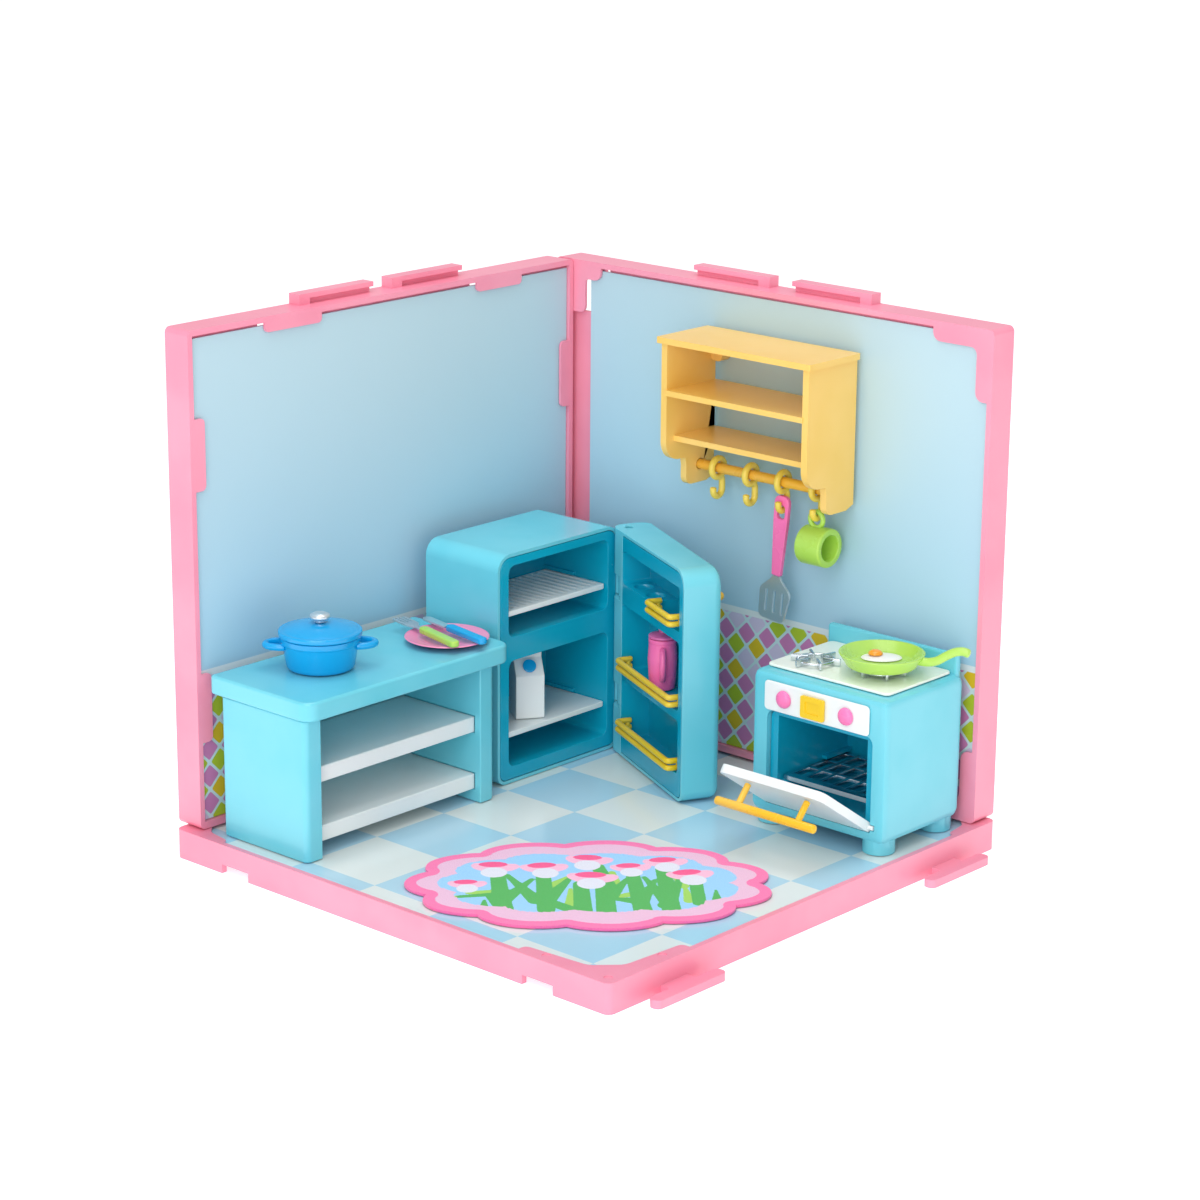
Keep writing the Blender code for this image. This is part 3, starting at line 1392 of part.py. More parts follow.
clear_scene()
PARTS = new_collection("toy_kitchen")
CUTTERS = new_collection("cutters")
PINK = paint("pink plastic", (0.93, 0.42, 0.56))
TURQUOISE = paint("turquoise plastic", (0.15, 0.65, 0.79))
WHITE = paint("white plastic", (0.80, 0.84, 0.84))
MINT_WHITE = paint("mint white plastic", (0.72, 0.85, 0.74))
BLUE = paint("blue plastic", (0.0, 0.37, 0.83))
ROSE = paint("rose plastic", (0.91, 0.33, 0.52))
PALE_PINK = paint("pale pink plastic", (0.72, 0.20, 0.43))
HOT_PINK = paint("hot pink plastic", (0.90, 0.10, 0.37))
LIME = paint("lime plastic", (0.48, 0.75, 0.13))
YELLOW = paint("yellow plastic", (0.80, 0.59, 0.07))
ORANGE = paint("amber plastic", (0.91, 0.52, 0.07))
SHELF_YELLOW = paint("cream yellow plastic", (0.95, 0.64, 0.19))
RAIL_YELLOW = paint("deep yellow plastic", (0.83, 0.43, 0.05))
LEMON = paint("lemon plastic", (0.83, 0.62, 0.09))
GOLD = paint("display yellow plastic", (0.83, 0.54, 0.01))
SILVER = paint("silver plated plastic", (0.78, 0.79, 0.80), 0.2, 1.0)
STEEL = paint("silver wire", (0.70, 0.72, 0.74), 0.3, 1.0)
EGG = paint("egg white plastic", (0.88, 0.88, 0.88))
YOLK = paint("egg yolk plastic", (0.95, 0.35, 0.02))
FLOOR_PRINT = paint("floor card", (0.55, 0.74, 0.84), 0.45)
LEFT_PRINT = paint("left wall card", (0.42, 0.64, 0.79), 0.5)
BACK_PRINT = paint("back wall card", (0.42, 0.64, 0.79), 0.5)
RUG_CLOTH = paint("flocked rug", (0.85, 0.30, 0.50), 0.9)

ROOM = empty_at("toy_kitchen_origin", (-ROOM_CENTRE[0], -ROOM_CENTRE[1], 0))
floor_panel()
left_wall()
back_wall()
rug()
counter()
pot()
plate_and_cutlery()
fridge()
fridge_door()
milk_carton()
stove()
oven_door()
frying_pan()
wall_shelf()
spatula()
mug()
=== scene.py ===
"""A dolls' house kitchen: pink clip-together panels with printed cards, a counter, a
fridge, a stove, a wall shelf with hanging tools, a flocked rug and small accessories.
Lengths are in millimetres until a mesh is made."""

import json
import math

import bmesh
import bpy
import numpy as np
from mathutils import Matrix, Vector


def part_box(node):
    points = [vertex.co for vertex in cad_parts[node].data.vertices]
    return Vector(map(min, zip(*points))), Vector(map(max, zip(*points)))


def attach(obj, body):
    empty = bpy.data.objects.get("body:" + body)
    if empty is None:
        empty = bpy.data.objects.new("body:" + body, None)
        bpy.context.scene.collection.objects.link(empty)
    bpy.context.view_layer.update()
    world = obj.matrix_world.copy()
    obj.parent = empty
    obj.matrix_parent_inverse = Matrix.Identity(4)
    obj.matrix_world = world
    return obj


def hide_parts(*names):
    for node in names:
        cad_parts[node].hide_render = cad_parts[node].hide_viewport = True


bl_info = {
    "name": "Toy kitchen",
    "version": (1, 0, 0),
    "blender": (4, 2, 0),
    "location": "View3D > Sidebar > Toy kitchen",
    "description": "Builds a dolls' house kitchen room piece by piece",
    "category": "Add Mesh",
}

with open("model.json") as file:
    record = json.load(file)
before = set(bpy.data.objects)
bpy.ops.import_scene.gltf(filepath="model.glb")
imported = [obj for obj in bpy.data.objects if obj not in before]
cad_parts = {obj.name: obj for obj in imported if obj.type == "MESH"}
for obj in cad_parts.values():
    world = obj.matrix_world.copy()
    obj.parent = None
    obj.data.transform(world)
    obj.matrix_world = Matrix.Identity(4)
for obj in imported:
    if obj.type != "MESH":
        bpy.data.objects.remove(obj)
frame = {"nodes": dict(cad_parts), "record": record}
MM = 0.001
ROOM = Vector((-2.7, -0.775, 0))


# ---------------------------------------------------------------- shapes


def at(*place):
    """A place in the room, moved to the shared frame."""
    return Matrix.Translation(ROOM + Vector(place))


def turn(degrees, axis="Z"):
    return Matrix.Rotation(math.radians(degrees), 4, axis)


def rounded(corners, steps=5, closed=False):
    """Points u, v along corners of u, v and an optional radius."""
    points = []
    count = len(corners)
    for index, corner in enumerate(corners):
        here = Vector(corner[:2])
        radius = corner[2] if len(corner) > 2 else 0
        ends = not closed and index in (0, count - 1)
        if not radius or ends:
            points.append(here)
            continue
        before = Vector(corners[index - 1][:2]) - here
        after = Vector(corners[(index + 1) % count][:2]) - here
        half = before.angle(after) / 2
        reach = min(radius / math.tan(half), before.length * 0.49, after.length * 0.49)
        start, end = here + before.normalized() * reach, here + after.normalized() * reach
        for step in range(steps + 1):
            t = step / steps
            points.append(start * (1 - t) ** 2 + here * 2 * t * (1 - t) + end * t * t)
    return points


def smooth_path(points, steps=6):
    """A Catmull-Rom curve through the points."""
    spots = [Vector(p) for p in points]
    spots = [spots[0] * 2 - spots[1], *spots, spots[-1] * 2 - spots[-2]]
    path = []
    for a, b, c, d in zip(spots, spots[1:], spots[2:], spots[3:]):
        for step in range(steps):
            t = step / steps
            square, cube = a * 2 - b * 5 + c * 4 - d, b * 3 - a - c * 3 + d
            path.append((b * 2 + (c - a) * t + square * t**2 + cube * t**3) / 2)
    return [*path, spots[-2]]


class Shape:
    """Faces gathered for one piece, in millimetres in the shared frame."""

    def __init__(self):
        self.bm = bmesh.new()

    def rings(self, rings, cyclic=False):
        """Skins rings of points; a ring of one point is a pole."""
        made = [[self.bm.verts.new(p) for p in ring] for ring in rings]
        pairs = list(zip(made, made[1:]))
        if cyclic:
            pairs.append((made[-1], made[0]))
        for low, high in pairs:
            count = max(len(low), len(high))
            for i in range(count):
                j = (i + 1) % count
                face = []
                lower = (low[i % len(low)], low[j % len(low)])
                upper = (high[j % len(high)], high[i % len(high)])
                for vertex in (*lower, *upper):
                    if vertex not in face:
                        face.append(vertex)
                if len(face) > 2:
                    self.bm.faces.new(face)
        return self

    def turned(self, profile, place, steps=72, curve=5):
        """A profile of radius, height and corner radius turned about the Z axis of the place."""
        rings = []
        for radius, height in rounded(profile, curve):
            if radius < 1e-6:
                rings.append([place @ Vector((0, 0, height))])
                continue
            ring = []
            for step in range(steps):
                angle = math.tau * step / steps
                ring.append(place @ Vector((radius * math.cos(angle), radius * math.sin(angle), height)))
            rings.append(ring)
        return self.rings(rings)

    def tube(self, path, radius, place, sides=18, cyclic=False):
        """A round bar along the path with domed ends."""
        spots = [place @ Vector(p) for p in path]
        if not cyclic:
            starts, finishes = [], []
            first, last = (spots[0] - spots[1]).normalized(), (spots[-1] - spots[-2]).normalized()
            for lift in (1.0, 0.92, 0.7, 0.38):
                starts.append((spots[0] + first * radius * 0.5 * lift, math.sqrt(1 - lift**2)))
                finishes.insert(0, (spots[-1] + last * radius * 0.5 * lift, math.sqrt(1 - lift**2)))
            stops = [*starts, *[(p, 1) for p in spots], *finishes]
        else:
            stops = [(p, 1) for p in spots]
        count = len(stops)
        along = (spots[1] - spots[0]).normalized()
        side = along.orthogonal().normalized()
        rings = []
        for index, (spot, share) in enumerate(stops):
            if cyclic:
                ahead = stops[(index + 1) % count][0] - stops[index - 1][0]
            else:
                ahead = stops[min(index + 1, count - 1)][0] - stops[max(index - 1, 0)][0]
            way = ahead.normalized()
            side = (side - way * side.dot(way)).normalized()
            up = way.cross(side)
            if share < 1e-3:
                rings.append([spot])
                continue
            ring = []
            for step in range(sides):
                angle = math.tau * step / sides
                ring.append(spot + (side * math.cos(angle) + up * math.sin(angle)) * radius * share)
            rings.append(ring)
        return self.rings(rings, cyclic)

    def plate(self, corners, low, high, place, edge=0.3, curve=5):
        """A flat piece with rounded edges between two heights."""
        points = rounded(corners, curve, closed=True)
        bottom = [self.bm.verts.new(place @ Vector((*p, low))) for p in points]
        top = [self.bm.verts.new(place @ Vector((*p, high))) for p in points]
        count = len(points)
        faces = [self.bm.faces.new(bottom[::-1]), self.bm.faces.new(top)]
        rims = list(faces[0].edges) + list(faces[1].edges)
        for i in range(count):
            j = (i + 1) % count
            self.bm.faces.new((bottom[i], bottom[j], top[j], top[i]))
        if edge:
            bmesh.ops.bevel(
                self.bm, geom=rims, offset=edge, segments=3, profile=0.5, affect="EDGES", clamp_overlap=True
            )
        return self

    def piece(self, name, material, crease=40):
        bmesh.ops.recalc_face_normals(self.bm, faces=self.bm.faces)
        for vertex in self.bm.verts:
            vertex.co *= MM
        mesh = bpy.data.meshes.new(name)
        self.bm.to_mesh(mesh)
        self.bm.free()
        return link(name, mesh, material, crease)


def link(name, mesh, material, crease=40):
    """Puts a finished mesh in the scene, smooth except at its creases."""
    obj = bpy.data.objects.new(name, mesh)
    bpy.context.scene.collection.objects.link(obj)
    mesh.materials.clear()
    mesh.materials.append(material)
    mesh.polygons.foreach_set("use_smooth", [True] * len(mesh.polygons))
    mesh.set_sharp_from_angle(angle=math.radians(crease))
    return obj


def belongs(obj, body, slot, *nodes):
    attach(obj, body)
    if nodes:
        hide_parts(*nodes)
    return obj


def evaluated(obj):
    """The object's mesh with its modifiers applied."""
    bpy.context.view_layer.update()
    graph = bpy.context.evaluated_depsgraph_get()
    return bpy.data.meshes.new_from_object(obj.evaluated_get(graph))


def moulded(node, material, edge=0.4, segments=3, angle=30):
    """The node's shape with softened edges, as it comes from the mould."""
    source = frame["nodes"][node]
    bm = bmesh.new()
    bm.from_mesh(source.data)
    bmesh.ops.remove_doubles(bm, verts=bm.verts, dist=2e-6)
    bmesh.ops.dissolve_limit(
        bm, angle_limit=math.radians(0.6), verts=bm.verts, edges=bm.edges, use_dissolve_boundaries=False
    )
    mesh = bpy.data.meshes.new(node + "_moulded")
    bm.to_mesh(mesh)
    bm.free()
    obj = link(node + "_moulded", mesh, material)
    bevel = obj.modifiers.new("Edges", "BEVEL")
    bevel.width = edge * MM
    bevel.segments = segments
    bevel.limit_method = "ANGLE"
    bevel.angle_limit = math.radians(angle)
    bevel.use_clamp_overlap = True
    final = evaluated(obj)
    obj.modifiers.clear()
    obj.data = final
    final.name = obj.name
    final.polygons.foreach_set("use_smooth", [True] * len(final.polygons))
    final.set_sharp_from_angle(angle=math.radians(48))
    weights = obj.modifiers.new("Normals", "WEIGHTED_NORMAL")
    weights.keep_sharp = True
    obj.data = evaluated(obj)
    obj.modifiers.clear()
    return belongs(obj, node_body(node), node_slot(node), node)


def node_body(node):
    return next(body for body, members in frame["record"]["behaviour"]["bodies"].items() if node in members)


def node_slot(node):
    return next(row["material_slot"] for row in frame["record"]["subparts"] if row["node"] == node)


# ---------------------------------------------------------------- materials


def linear(red, green, blue):
    """An sRGB colour in 0 to 255 as linear light."""
    values = []
    for value in (red, green, blue):
        share = value / 255
        values.append(share / 12.92 if share <= 0.04045 else ((share + 0.055) / 1.055) ** 2.4)
    return (*values, 1.0)


class Web:
    """Makes and wires nodes in one tree."""

    def __init__(self, tree):
        self.tree = tree

    def add(self, kind, **settings):
        node = self.tree.nodes.new(kind)
        for key, value in settings.items():
            setattr(node, key, value)
        return node

    def plug(self, value, socket):
        if isinstance(value, bpy.types.NodeSocket):
            self.tree.links.new(value, socket)
        elif value is not None:
            socket.default_value = value

    def math(self, operation, *values, clamp=False):
        node = self.add("ShaderNodeMath", operation=operation, use_clamp=clamp)
        for value, socket in zip(values, node.inputs):
            self.plug(value, socket)
        return node.outputs[0]

    def blend(self, share, first, second):
        node = self.add("ShaderNodeMix", data_type="RGBA")
        self.plug(share, node.inputs["Factor"])
        self.plug(first, node.inputs[6])
        self.plug(second, node.inputs[7])
        return node.outputs[2]

    def step(self, value, low, high):
        """0 below low, 1 above high, smooth between; low may be the greater."""
        node = self.add("ShaderNodeMapRange", interpolation_type="SMOOTHSTEP")
        self.plug(value, node.inputs["Value"])
        flip = low > high
        node.inputs["From Min"].default_value = min(low, high)
        node.inputs["From Max"].default_value = max(low, high)
        node.inputs["To Min"].default_value = 1.0 if flip else 0.0
        node.inputs["To Max"].default_value = 0.0 if flip else 1.0
        return node.outputs["Result"]

    def noise(self, vector, scale, detail=2.0):
        node = self.add("ShaderNodeTexNoise")
        self.plug(vector, node.inputs["Vector"])
        node.inputs["Scale"].default_value = scale
        node.inputs["Detail"].default_value = detail
        return node.outputs["Fac"]


def shared_group(name, inputs, outputs):
    """An empty shared node group, its wiring helper, its inputs and its output node."""
    tree = bpy.data.node_groups.new(name, "ShaderNodeTree")
    for label, kind, value in inputs:
        socket = tree.interface.new_socket(name=label, in_out="INPUT", socket_type=kind)
        socket.default_value = value
    for label, kind in outputs:
        tree.interface.new_socket(name=label, in_out="OUTPUT", socket_type=kind)
    web = Web(tree)
    return tree, web, web.add("NodeGroupInput").outputs, web.add("NodeGroupOutput").inputs


def plastic_group():
    """Moulded plastic: slight clouding of the colour, uneven gloss and a fine skin."""
    tree, web, given, out = shared_group(
        "Moulded plastic",
        [
            ("Colour", "NodeSocketColor", (0.8, 0.8, 0.8, 1)),
            ("Gloss", "NodeSocketFloat", 0.3),
            ("Skin", "NodeSocketFloat", 0.05),
        ],
        [("Colour", "NodeSocketColor"), ("Roughness", "NodeSocketFloat"), ("Normal", "NodeSocketVector")],
    )
    place = web.add("ShaderNodeTexCoord").outputs["Object"]
    cloud = web.noise(place, 28, 3)
    deeper = web.add("ShaderNodeHueSaturation")
    deeper.inputs["Saturation"].default_value = 1.06
    deeper.inputs["Value"].default_value = 0.95
    web.plug(given["Colour"], deeper.inputs["Color"])
    web.plug(web.blend(web.step(cloud, 0.35, 0.7), given["Colour"], deeper.outputs[0]), out["Colour"])
    patches = web.math("MULTIPLY_ADD", web.noise(place, 160, 2), 0.08, -0.04)
    web.plug(web.math("ADD", given["Gloss"], patches, clamp=True), out["Roughness"])
    bump = web.add("ShaderNodeBump")
    bump.inputs["Distance"].default_value = 0.00002
    web.plug(given["Skin"], bump.inputs["Strength"])
    web.plug(web.noise(place, 1600, 2), bump.inputs["Height"])
    web.plug(bump.outputs[0], out["Normal"])
    return tree


def check_group():
    """A mask of squares on two lengths."""
    tree, web, given, out = shared_group(
        "Check",
        [
            ("Across", "NodeSocketFloat", 0.0),
            ("Along", "NodeSocketFloat", 0.0),
            ("Tile", "NodeSocketFloat", 32.0),
        ],
        [("Mask", "NodeSocketFloat")],
    )
    cells = []
    for label in ("Across", "Along"):
        cells.append(web.math("FLOOR", web.math("DIVIDE", given[label], given["Tile"])))
    odd = web.math("PINGPONG", web.math("ADD", *cells), 1.0)
    web.plug(odd, out["Mask"])
    return tree


def diamond_group():
    """Wallpaper of two interlaced rows of diamonds, in cells of across and up."""
    tree, web, given, out = shared_group(
        "Diamond paper",
        [
            ("Across", "NodeSocketFloat", 0.0),
            ("Up", "NodeSocketFloat", 0.0),
            ("Grout", "NodeSocketFloat", 0.07),
        ],
        [("Colour", "NodeSocketColor")],
    )
    rising = web.math("ADD", given["Across"], given["Up"])
    falling = web.math("SUBTRACT", given["Across"], given["Up"])
    ids, gaps = [], []
    for value in (rising, falling):
        cell = web.math("FLOOR", web.math("ADD", value, 0.5))
        ids.append(cell)
        gaps.append(web.math("ABSOLUTE", web.math("SUBTRACT", value, cell)))
    square = 9.0  # the greater, the squarer the diamonds' corners
    sides = [web.math("POWER", gap, square) for gap in gaps]
    soft = web.math("POWER", web.math("ADD", *sides), 1 / square)
    limit = web.math("SUBTRACT", 0.5, given["Grout"])
    inside = web.step(web.math("SUBTRACT", soft, limit), 0.008, -0.008)
    spot = web.add("ShaderNodeCombineXYZ")
    web.plug(web.math("ADD", ids[0], 0.37), spot.inputs["X"])
    web.plug(web.math("ADD", ids[1], 0.61), spot.inputs["Y"])
    chance = web.add("ShaderNodeTexWhiteNoise", noise_dimensions="2D")
    web.plug(spot.outputs[0], chance.inputs["Vector"])
    luck = chance.outputs["Value"]
    odd = web.math("PINGPONG", web.math("ADD", *ids), 1.0)
    mauve, lime, mustard = linear(212, 200, 226), linear(178, 200, 50), linear(222, 190, 40)
    purple = linear(205, 130, 182)
    plain = web.blend(web.step(luck, 0.5, 0.501), mauve, lime)
    plain = web.blend(web.step(luck, 0.75, 0.751), plain, mustard)
    other = web.blend(web.step(luck, 0.4, 0.401), mauve, purple)
    filled = web.blend(odd, plain, other)
    web.plug(web.blend(inside, linear(203, 228, 232), filled), out["Colour"])
    return tree


GROUPS = {}


def shared(name):
    makers = {"plastic": plastic_group, "check": check_group, "diamond": diamond_group}
    if name not in GROUPS:
        GROUPS[name] = makers[name]()
    return GROUPS[name]


def new_material(name):
    material = bpy.data.materials.new(name)
    material.use_nodes = True
    material.node_tree.nodes.clear()
    web = Web(material.node_tree)
    surface = web.add("ShaderNodeBsdfPrincipled")
    web.plug(surface.outputs[0], web.add("ShaderNodeOutputMaterial").inputs["Surface"])
    return material, web, surface.inputs


def use_group(web, name):
    node = web.add("ShaderNodeGroup")
    node.node_tree = shared(name)
    return node


def plastic(name, colour, gloss=0.3, skin=0.05, metallic=0.0, coat=0.0):
    material, web, surface = new_material(name)
    group = use_group(web, "plastic")
    group.inputs["Colour"].default_value = linear(*colour)
    group.inputs["Gloss"].default_value = gloss
    group.inputs["Skin"].default_value = skin
    web.plug(group.outputs["Colour"], surface["Base Color"])
    web.plug(group.outputs["Roughness"], surface["Roughness"])
    web.plug(group.outputs["Normal"], surface["Normal"])
    surface["Metallic"].default_value = metallic
    surface["Coat Weight"].default_value = coat
    surface["Coat Roughness"].default_value = 0.15
    material.diffuse_color = linear(*colour)
    return material


def lengths(web):
    """Sockets of the place on x, y and z, in millimetres."""
    place = web.add("ShaderNodeSeparateXYZ")
    web.plug(web.add("ShaderNodeTexCoord").outputs["Object"], place.inputs[0])
    return [web.math("MULTIPLY", socket, 1000.0) for socket in place.outputs]


def floor_print():
    material, web, surface = new_material("floor card print")
    x, y, _ = lengths(web)
    check = use_group(web, "check")
    tile, corner = 32.29, (-48.2, 6.625)
    check.inputs["Tile"].default_value = tile
    web.plug(web.math("ADD", x, -corner[0]), check.inputs["Across"])
    web.plug(web.math("ADD", y, -corner[1]), check.inputs["Along"])
    place = web.add("ShaderNodeTexCoord").outputs["Object"]
    wash = web.step(web.noise(place, 14, 2), 0.3, 0.75)
    blue = web.blend(wash, linear(184, 222, 240), linear(170, 214, 236))
    pale = web.blend(wash, linear(232, 240, 238), linear(222, 234, 234))
    web.plug(web.blend(check.outputs["Mask"], blue, pale), surface["Base Color"])
    surface["Roughness"].default_value = 0.22
    surface["Coat Weight"].default_value = 0.25
    surface["Coat Roughness"].default_value = 0.12
    return material


def wall_print(name, across_axis, first_column):
    """Sky above a band of diamonds with a pale strip along its top."""
    material, web, surface = new_material(name)
    sockets = lengths(web)
    across, up = sockets[across_axis], sockets[2]
    column, row = 9.56, 9.73
    row_at, cut, strip = 53.0, 64.5, 66.8
    paper = use_group(web, "diamond")
    web.plug(web.math("DIVIDE", web.math("SUBTRACT", across, first_column), column), paper.inputs["Across"])
    web.plug(web.math("DIVIDE", web.math("SUBTRACT", up, row_at), row), paper.inputs["Up"])
    height = web.step(up, strip, 184.0)
    sky = web.blend(height, linear(163, 204, 226), linear(181, 210, 222))
    place = web.add("ShaderNodeTexCoord").outputs["Object"]
    sky = web.blend(web.math("MULTIPLY", web.noise(place, 9, 2), 0.25), sky, linear(200, 228, 234))
    lower = web.blend(web.step(up, cut - 0.1, cut + 0.1), paper.outputs["Colour"], linear(222, 232, 234))
    web.plug(web.blend(web.step(up, strip - 0.1, strip + 0.1), lower, sky), surface["Base Color"])
    surface["Roughness"].default_value = 0.42
    return material


def rug_print():
    """Flock printed with a border, a sky and tulips, from the lengths kept on the mesh."""
    material, web, surface = new_material("rug flock")

    def kept(name):
        return web.add("ShaderNodeAttribute", attribute_name=name).outputs["Fac"]

    place = web.add("ShaderNodeTexCoord").outputs["Object"]
    wander = web.math("MULTIPLY_ADD", web.noise(place, 1400, 2), 0.5, -0.25)
    soft = 0.12

    def over(under, length, colour):
        edge = web.math("ADD", length, wander)
        return web.blend(web.step(edge, soft, -soft), under, colour)

    ink = over(linear(155, 212, 255), kept("accent"), linear(160, 215, 85))
    ink = over(ink, kept("leaf"), linear(70, 180, 80))
    ink = over(ink, kept("petal"), linear(255, 190, 220))
    ink = over(ink, kept("tip"), linear(255, 80, 145))
    ink = over(ink, kept("cup"), linear(232, 232, 246))
    edge = kept("edge")
    ink = over(ink, kept("inner"), linear(240, 192, 222))
    ink = over(ink, web.math("SUBTRACT", edge, 4.1), linear(255, 118, 178))
    fibre = web.noise(place, 2600, 2)
    shade = web.add("ShaderNodeHueSaturation")
    web.plug(web.math("MULTIPLY_ADD", fibre, 0.3, 0.86), shade.inputs["Value"])
    web.plug(ink, shade.inputs["Color"])
    web.plug(shade.outputs[0], surface["Base Color"])
    surface["Roughness"].default_value = 0.95
    surface["Sheen Weight"].default_value = 0.35
    surface["Sheen Roughness"].default_value = 0.5
    surface["Specular IOR Level"].default_value = 0.1
    bump = web.add("ShaderNodeBump")
    bump.inputs["Strength"].default_value = 0.6
    bump.inputs["Distance"].default_value = 0.0003
    web.plug(fibre, bump.inputs["Height"])
    web.plug(bump.outputs[0], surface["Normal"])
    return material


def paints():
    """One material for each slot of the record."""
    chosen = bpy.context.scene.toy_kitchen
    panels, furniture, shelf = (
        [value * 255 for value in colour] for colour in (chosen.panels, chosen.furniture, chosen.shelf)
    )
    return {
        "pink_plastic": plastic("pink plastic", panels, 0.3),
        "turquoise_plastic": plastic("turquoise plastic", furniture, 0.25, coat=0.25),
        # A darker copy of the turquoise for the liners: painted shade for the insides of the fridge, its
        # door and the oven
        "deep_turquoise": plastic("turquoise inside", (12, 168, 200), 0.25, coat=0.2),
        "white_plastic": plastic("white plastic", (238, 244, 244), 0.3),
        "mint_white_plastic": plastic("mint white plastic", (243, 250, 241), 0.3),
        "blue_plastic": plastic("blue plastic", (0, 164, 228), 0.25, coat=0.3),
        "rose_plastic": plastic("rose plastic", (248, 150, 190), 0.25, coat=0.2),
        "pale_pink_plastic": plastic("lid pink plastic", (226, 120, 178), 0.3),
        "hot_pink_plastic": plastic("hot pink plastic", (254, 126, 186), 0.27),
        "lime_plastic": plastic("lime plastic", (180, 222, 98), 0.28, coat=0.2),
        "yellow_plastic": plastic("rail yellow plastic", (240, 208, 70), 0.3),
        "amber_plastic": plastic("amber plastic", (250, 200, 75), 0.28),
        "cream_yellow_plastic": plastic("shelf yellow plastic", shelf, 0.3),
        "deep_yellow_plastic": plastic("deep yellow plastic", (242, 185, 70), 0.28),
        "lemon_plastic": plastic("lemon plastic", (242, 214, 92), 0.28),
        "display_yellow_plastic": plastic("display yellow plastic", (246, 205, 30), 0.3),
        "silver_plastic": plastic("silver plating", (214, 222, 226), 0.3, metallic=0.75),
        "silver_wire": plastic("bright wire", (208, 216, 222), 0.22, metallic=1.0),
        "egg_plastic": plastic("egg white plastic", (244, 244, 242), 0.3),
        "yolk_plastic": plastic("egg yolk plastic", (255, 160, 40), 0.25, coat=0.4),
        "floor_card_print": floor_print(),
        "left_wall_print": wall_print("left wall print", 1, -85.9 + ROOM.y),
        "wall_card_print": wall_print("back wall print", 0, -11.3 + ROOM.x),
        "rug_flock": rug_print(),
    }


PAINTS = {}


def paint(slot):
    if not PAINTS:
        PAINTS.update(paints())
    return PAINTS[slot]


# ---------------------------------------------------------------- room and cards


def make_room(settings):
    for node in ("floor_frame", "left_wall_frame", "back_wall_frame"):
        moulded(node, paint("pink_plastic"), settings.edge)


def make_cards(settings):
    """The printed cards keep the CAD's flat shape."""
    prints = {
        "floor_card": "floor_card_print",
        "left_wall_card": "left_wall_print",
        "back_wall_card": "wall_card_print",
    }
    for node, name in prints.items():
        mesh = frame["nodes"][node].data
        mesh.materials.clear()
        mesh.materials.append(paint(name))


# ---------------------------------------------------------------- rug


RUG_PLACE = at(38.8, -41.8, 9.8) @ turn(43.3)
RUG_HALF = (61.0, 40.25)


def cloud(angle, half_u, half_v, lobes=11, lobe=0.09):
    """A point on an oval whose edge swells into lobes."""
    swell = 1 - lobe + lobe * np.abs(np.sin(angle * lobes / 2)) ** 0.8
    return np.stack([half_u * swell * np.cos(angle), half_v * swell * np.sin(angle)], -1)


def away(points, outline):
    """Distance from each point to the nearest point of an outline."""
    nearest = np.full(len(points), 1e9)
    for spot in outline:
        nearest = np.minimum(nearest, np.hypot(points[:, 0] - spot[0], points[:, 1] - spot[1]))
    return nearest


def blade(points, start, end, wide, narrow):
    """Signed distance to a leaf from start to end that narrows from wide to narrow."""
    start, end = np.array(start, float), np.array(end, float)
    way = end - start
    t = np.clip(((points - start) @ way) / (way @ way), 0, 1)
    near = start + t[:, None] * way
    return np.hypot(*(points - near).T) - (wide + (narrow - wide) * t)


def oval(points, middle, half, lean=0.0):
    """Roughly signed distance to a leaning oval."""
    c, s = math.cos(math.radians(lean)), math.sin(math.radians(lean))
    u = points - np.array(middle, float)
    u = np.stack([u[:, 0] * c + u[:, 1] * s, u[:, 1] * c - u[:, 0] * s], -1) / np.array(half)
    return (np.hypot(*u.T) - 1) * min(half)


TULIPS = (
    (-40.3, -2.9, 0.85, 0),
    (-31.6, 12.2, 1.05, -4),
    (-14.9, 11.6, 1.05, 3),
    (-0.4, 18.8, 1.05, -8),
    (0.5, 2.4, 1.12, -6),
    (13.7, 12.0, 0.9, 2),
    (25.6, 17.0, 1.0, 4),
    (33.5, 5.3, 1.05, 8),
)
STEMS = (
    ((-30.4, 8), (-28, -26), 2.5, 3.4),
    ((-15.3, 8), (-14.4, -24), 2.5, 3.0),
    ((-3.0, -1), (-2.4, -30), 2.6, 3.2),
    ((4.6, 0), (5.0, -30), 3.0, 3.4),
    ((2.8, 15), (6.4, -4), 2.3, 2.6),
    ((14.2, 8), (16.8, -26), 2.3, 3.2),
    ((24.4, 13), (26.0, -26), 2.5, 3.2),
    ((34.8, 0), (35.2, -18), 2.3, 2.3),
)
LEAVES = (
    ((-42.5, -12.4), (-33, -10.6), 1.1, 1.5),
    ((-33, -10.6), (-28, -22), 1.5, 3.2),
    ((-27.2, 7.2), (-17.5, -16), 0.9, 3.0),
    ((-19.0, 3.2), (-28, -15), 0.9, 3.0),
    ((-5.6, 6.5), (-14, -15), 0.7, 3.2),
    ((-15.5, -15), (-4, -26), 2.4, 2.6),
    ((12.4, 4.0), (5.8, -14), 0.8, 3.0),
    ((7.0, -14.2), (15, -16), 1.0, 3.0),
    ((18.0, 5.2), (24.8, -16), 0.8, 3.0),
    ((21.5, 2.6), (16.5, -16), 0.8, 2.8),
    ((29.6, 3.0), (24.6, -20), 1.2, 3.2),
    ((-34.4, -15.5), (-34.4, -24), 0.5, 1.9),
    ((41.0, -6.5), (41.0, -15), 0.4, 1.7),
)
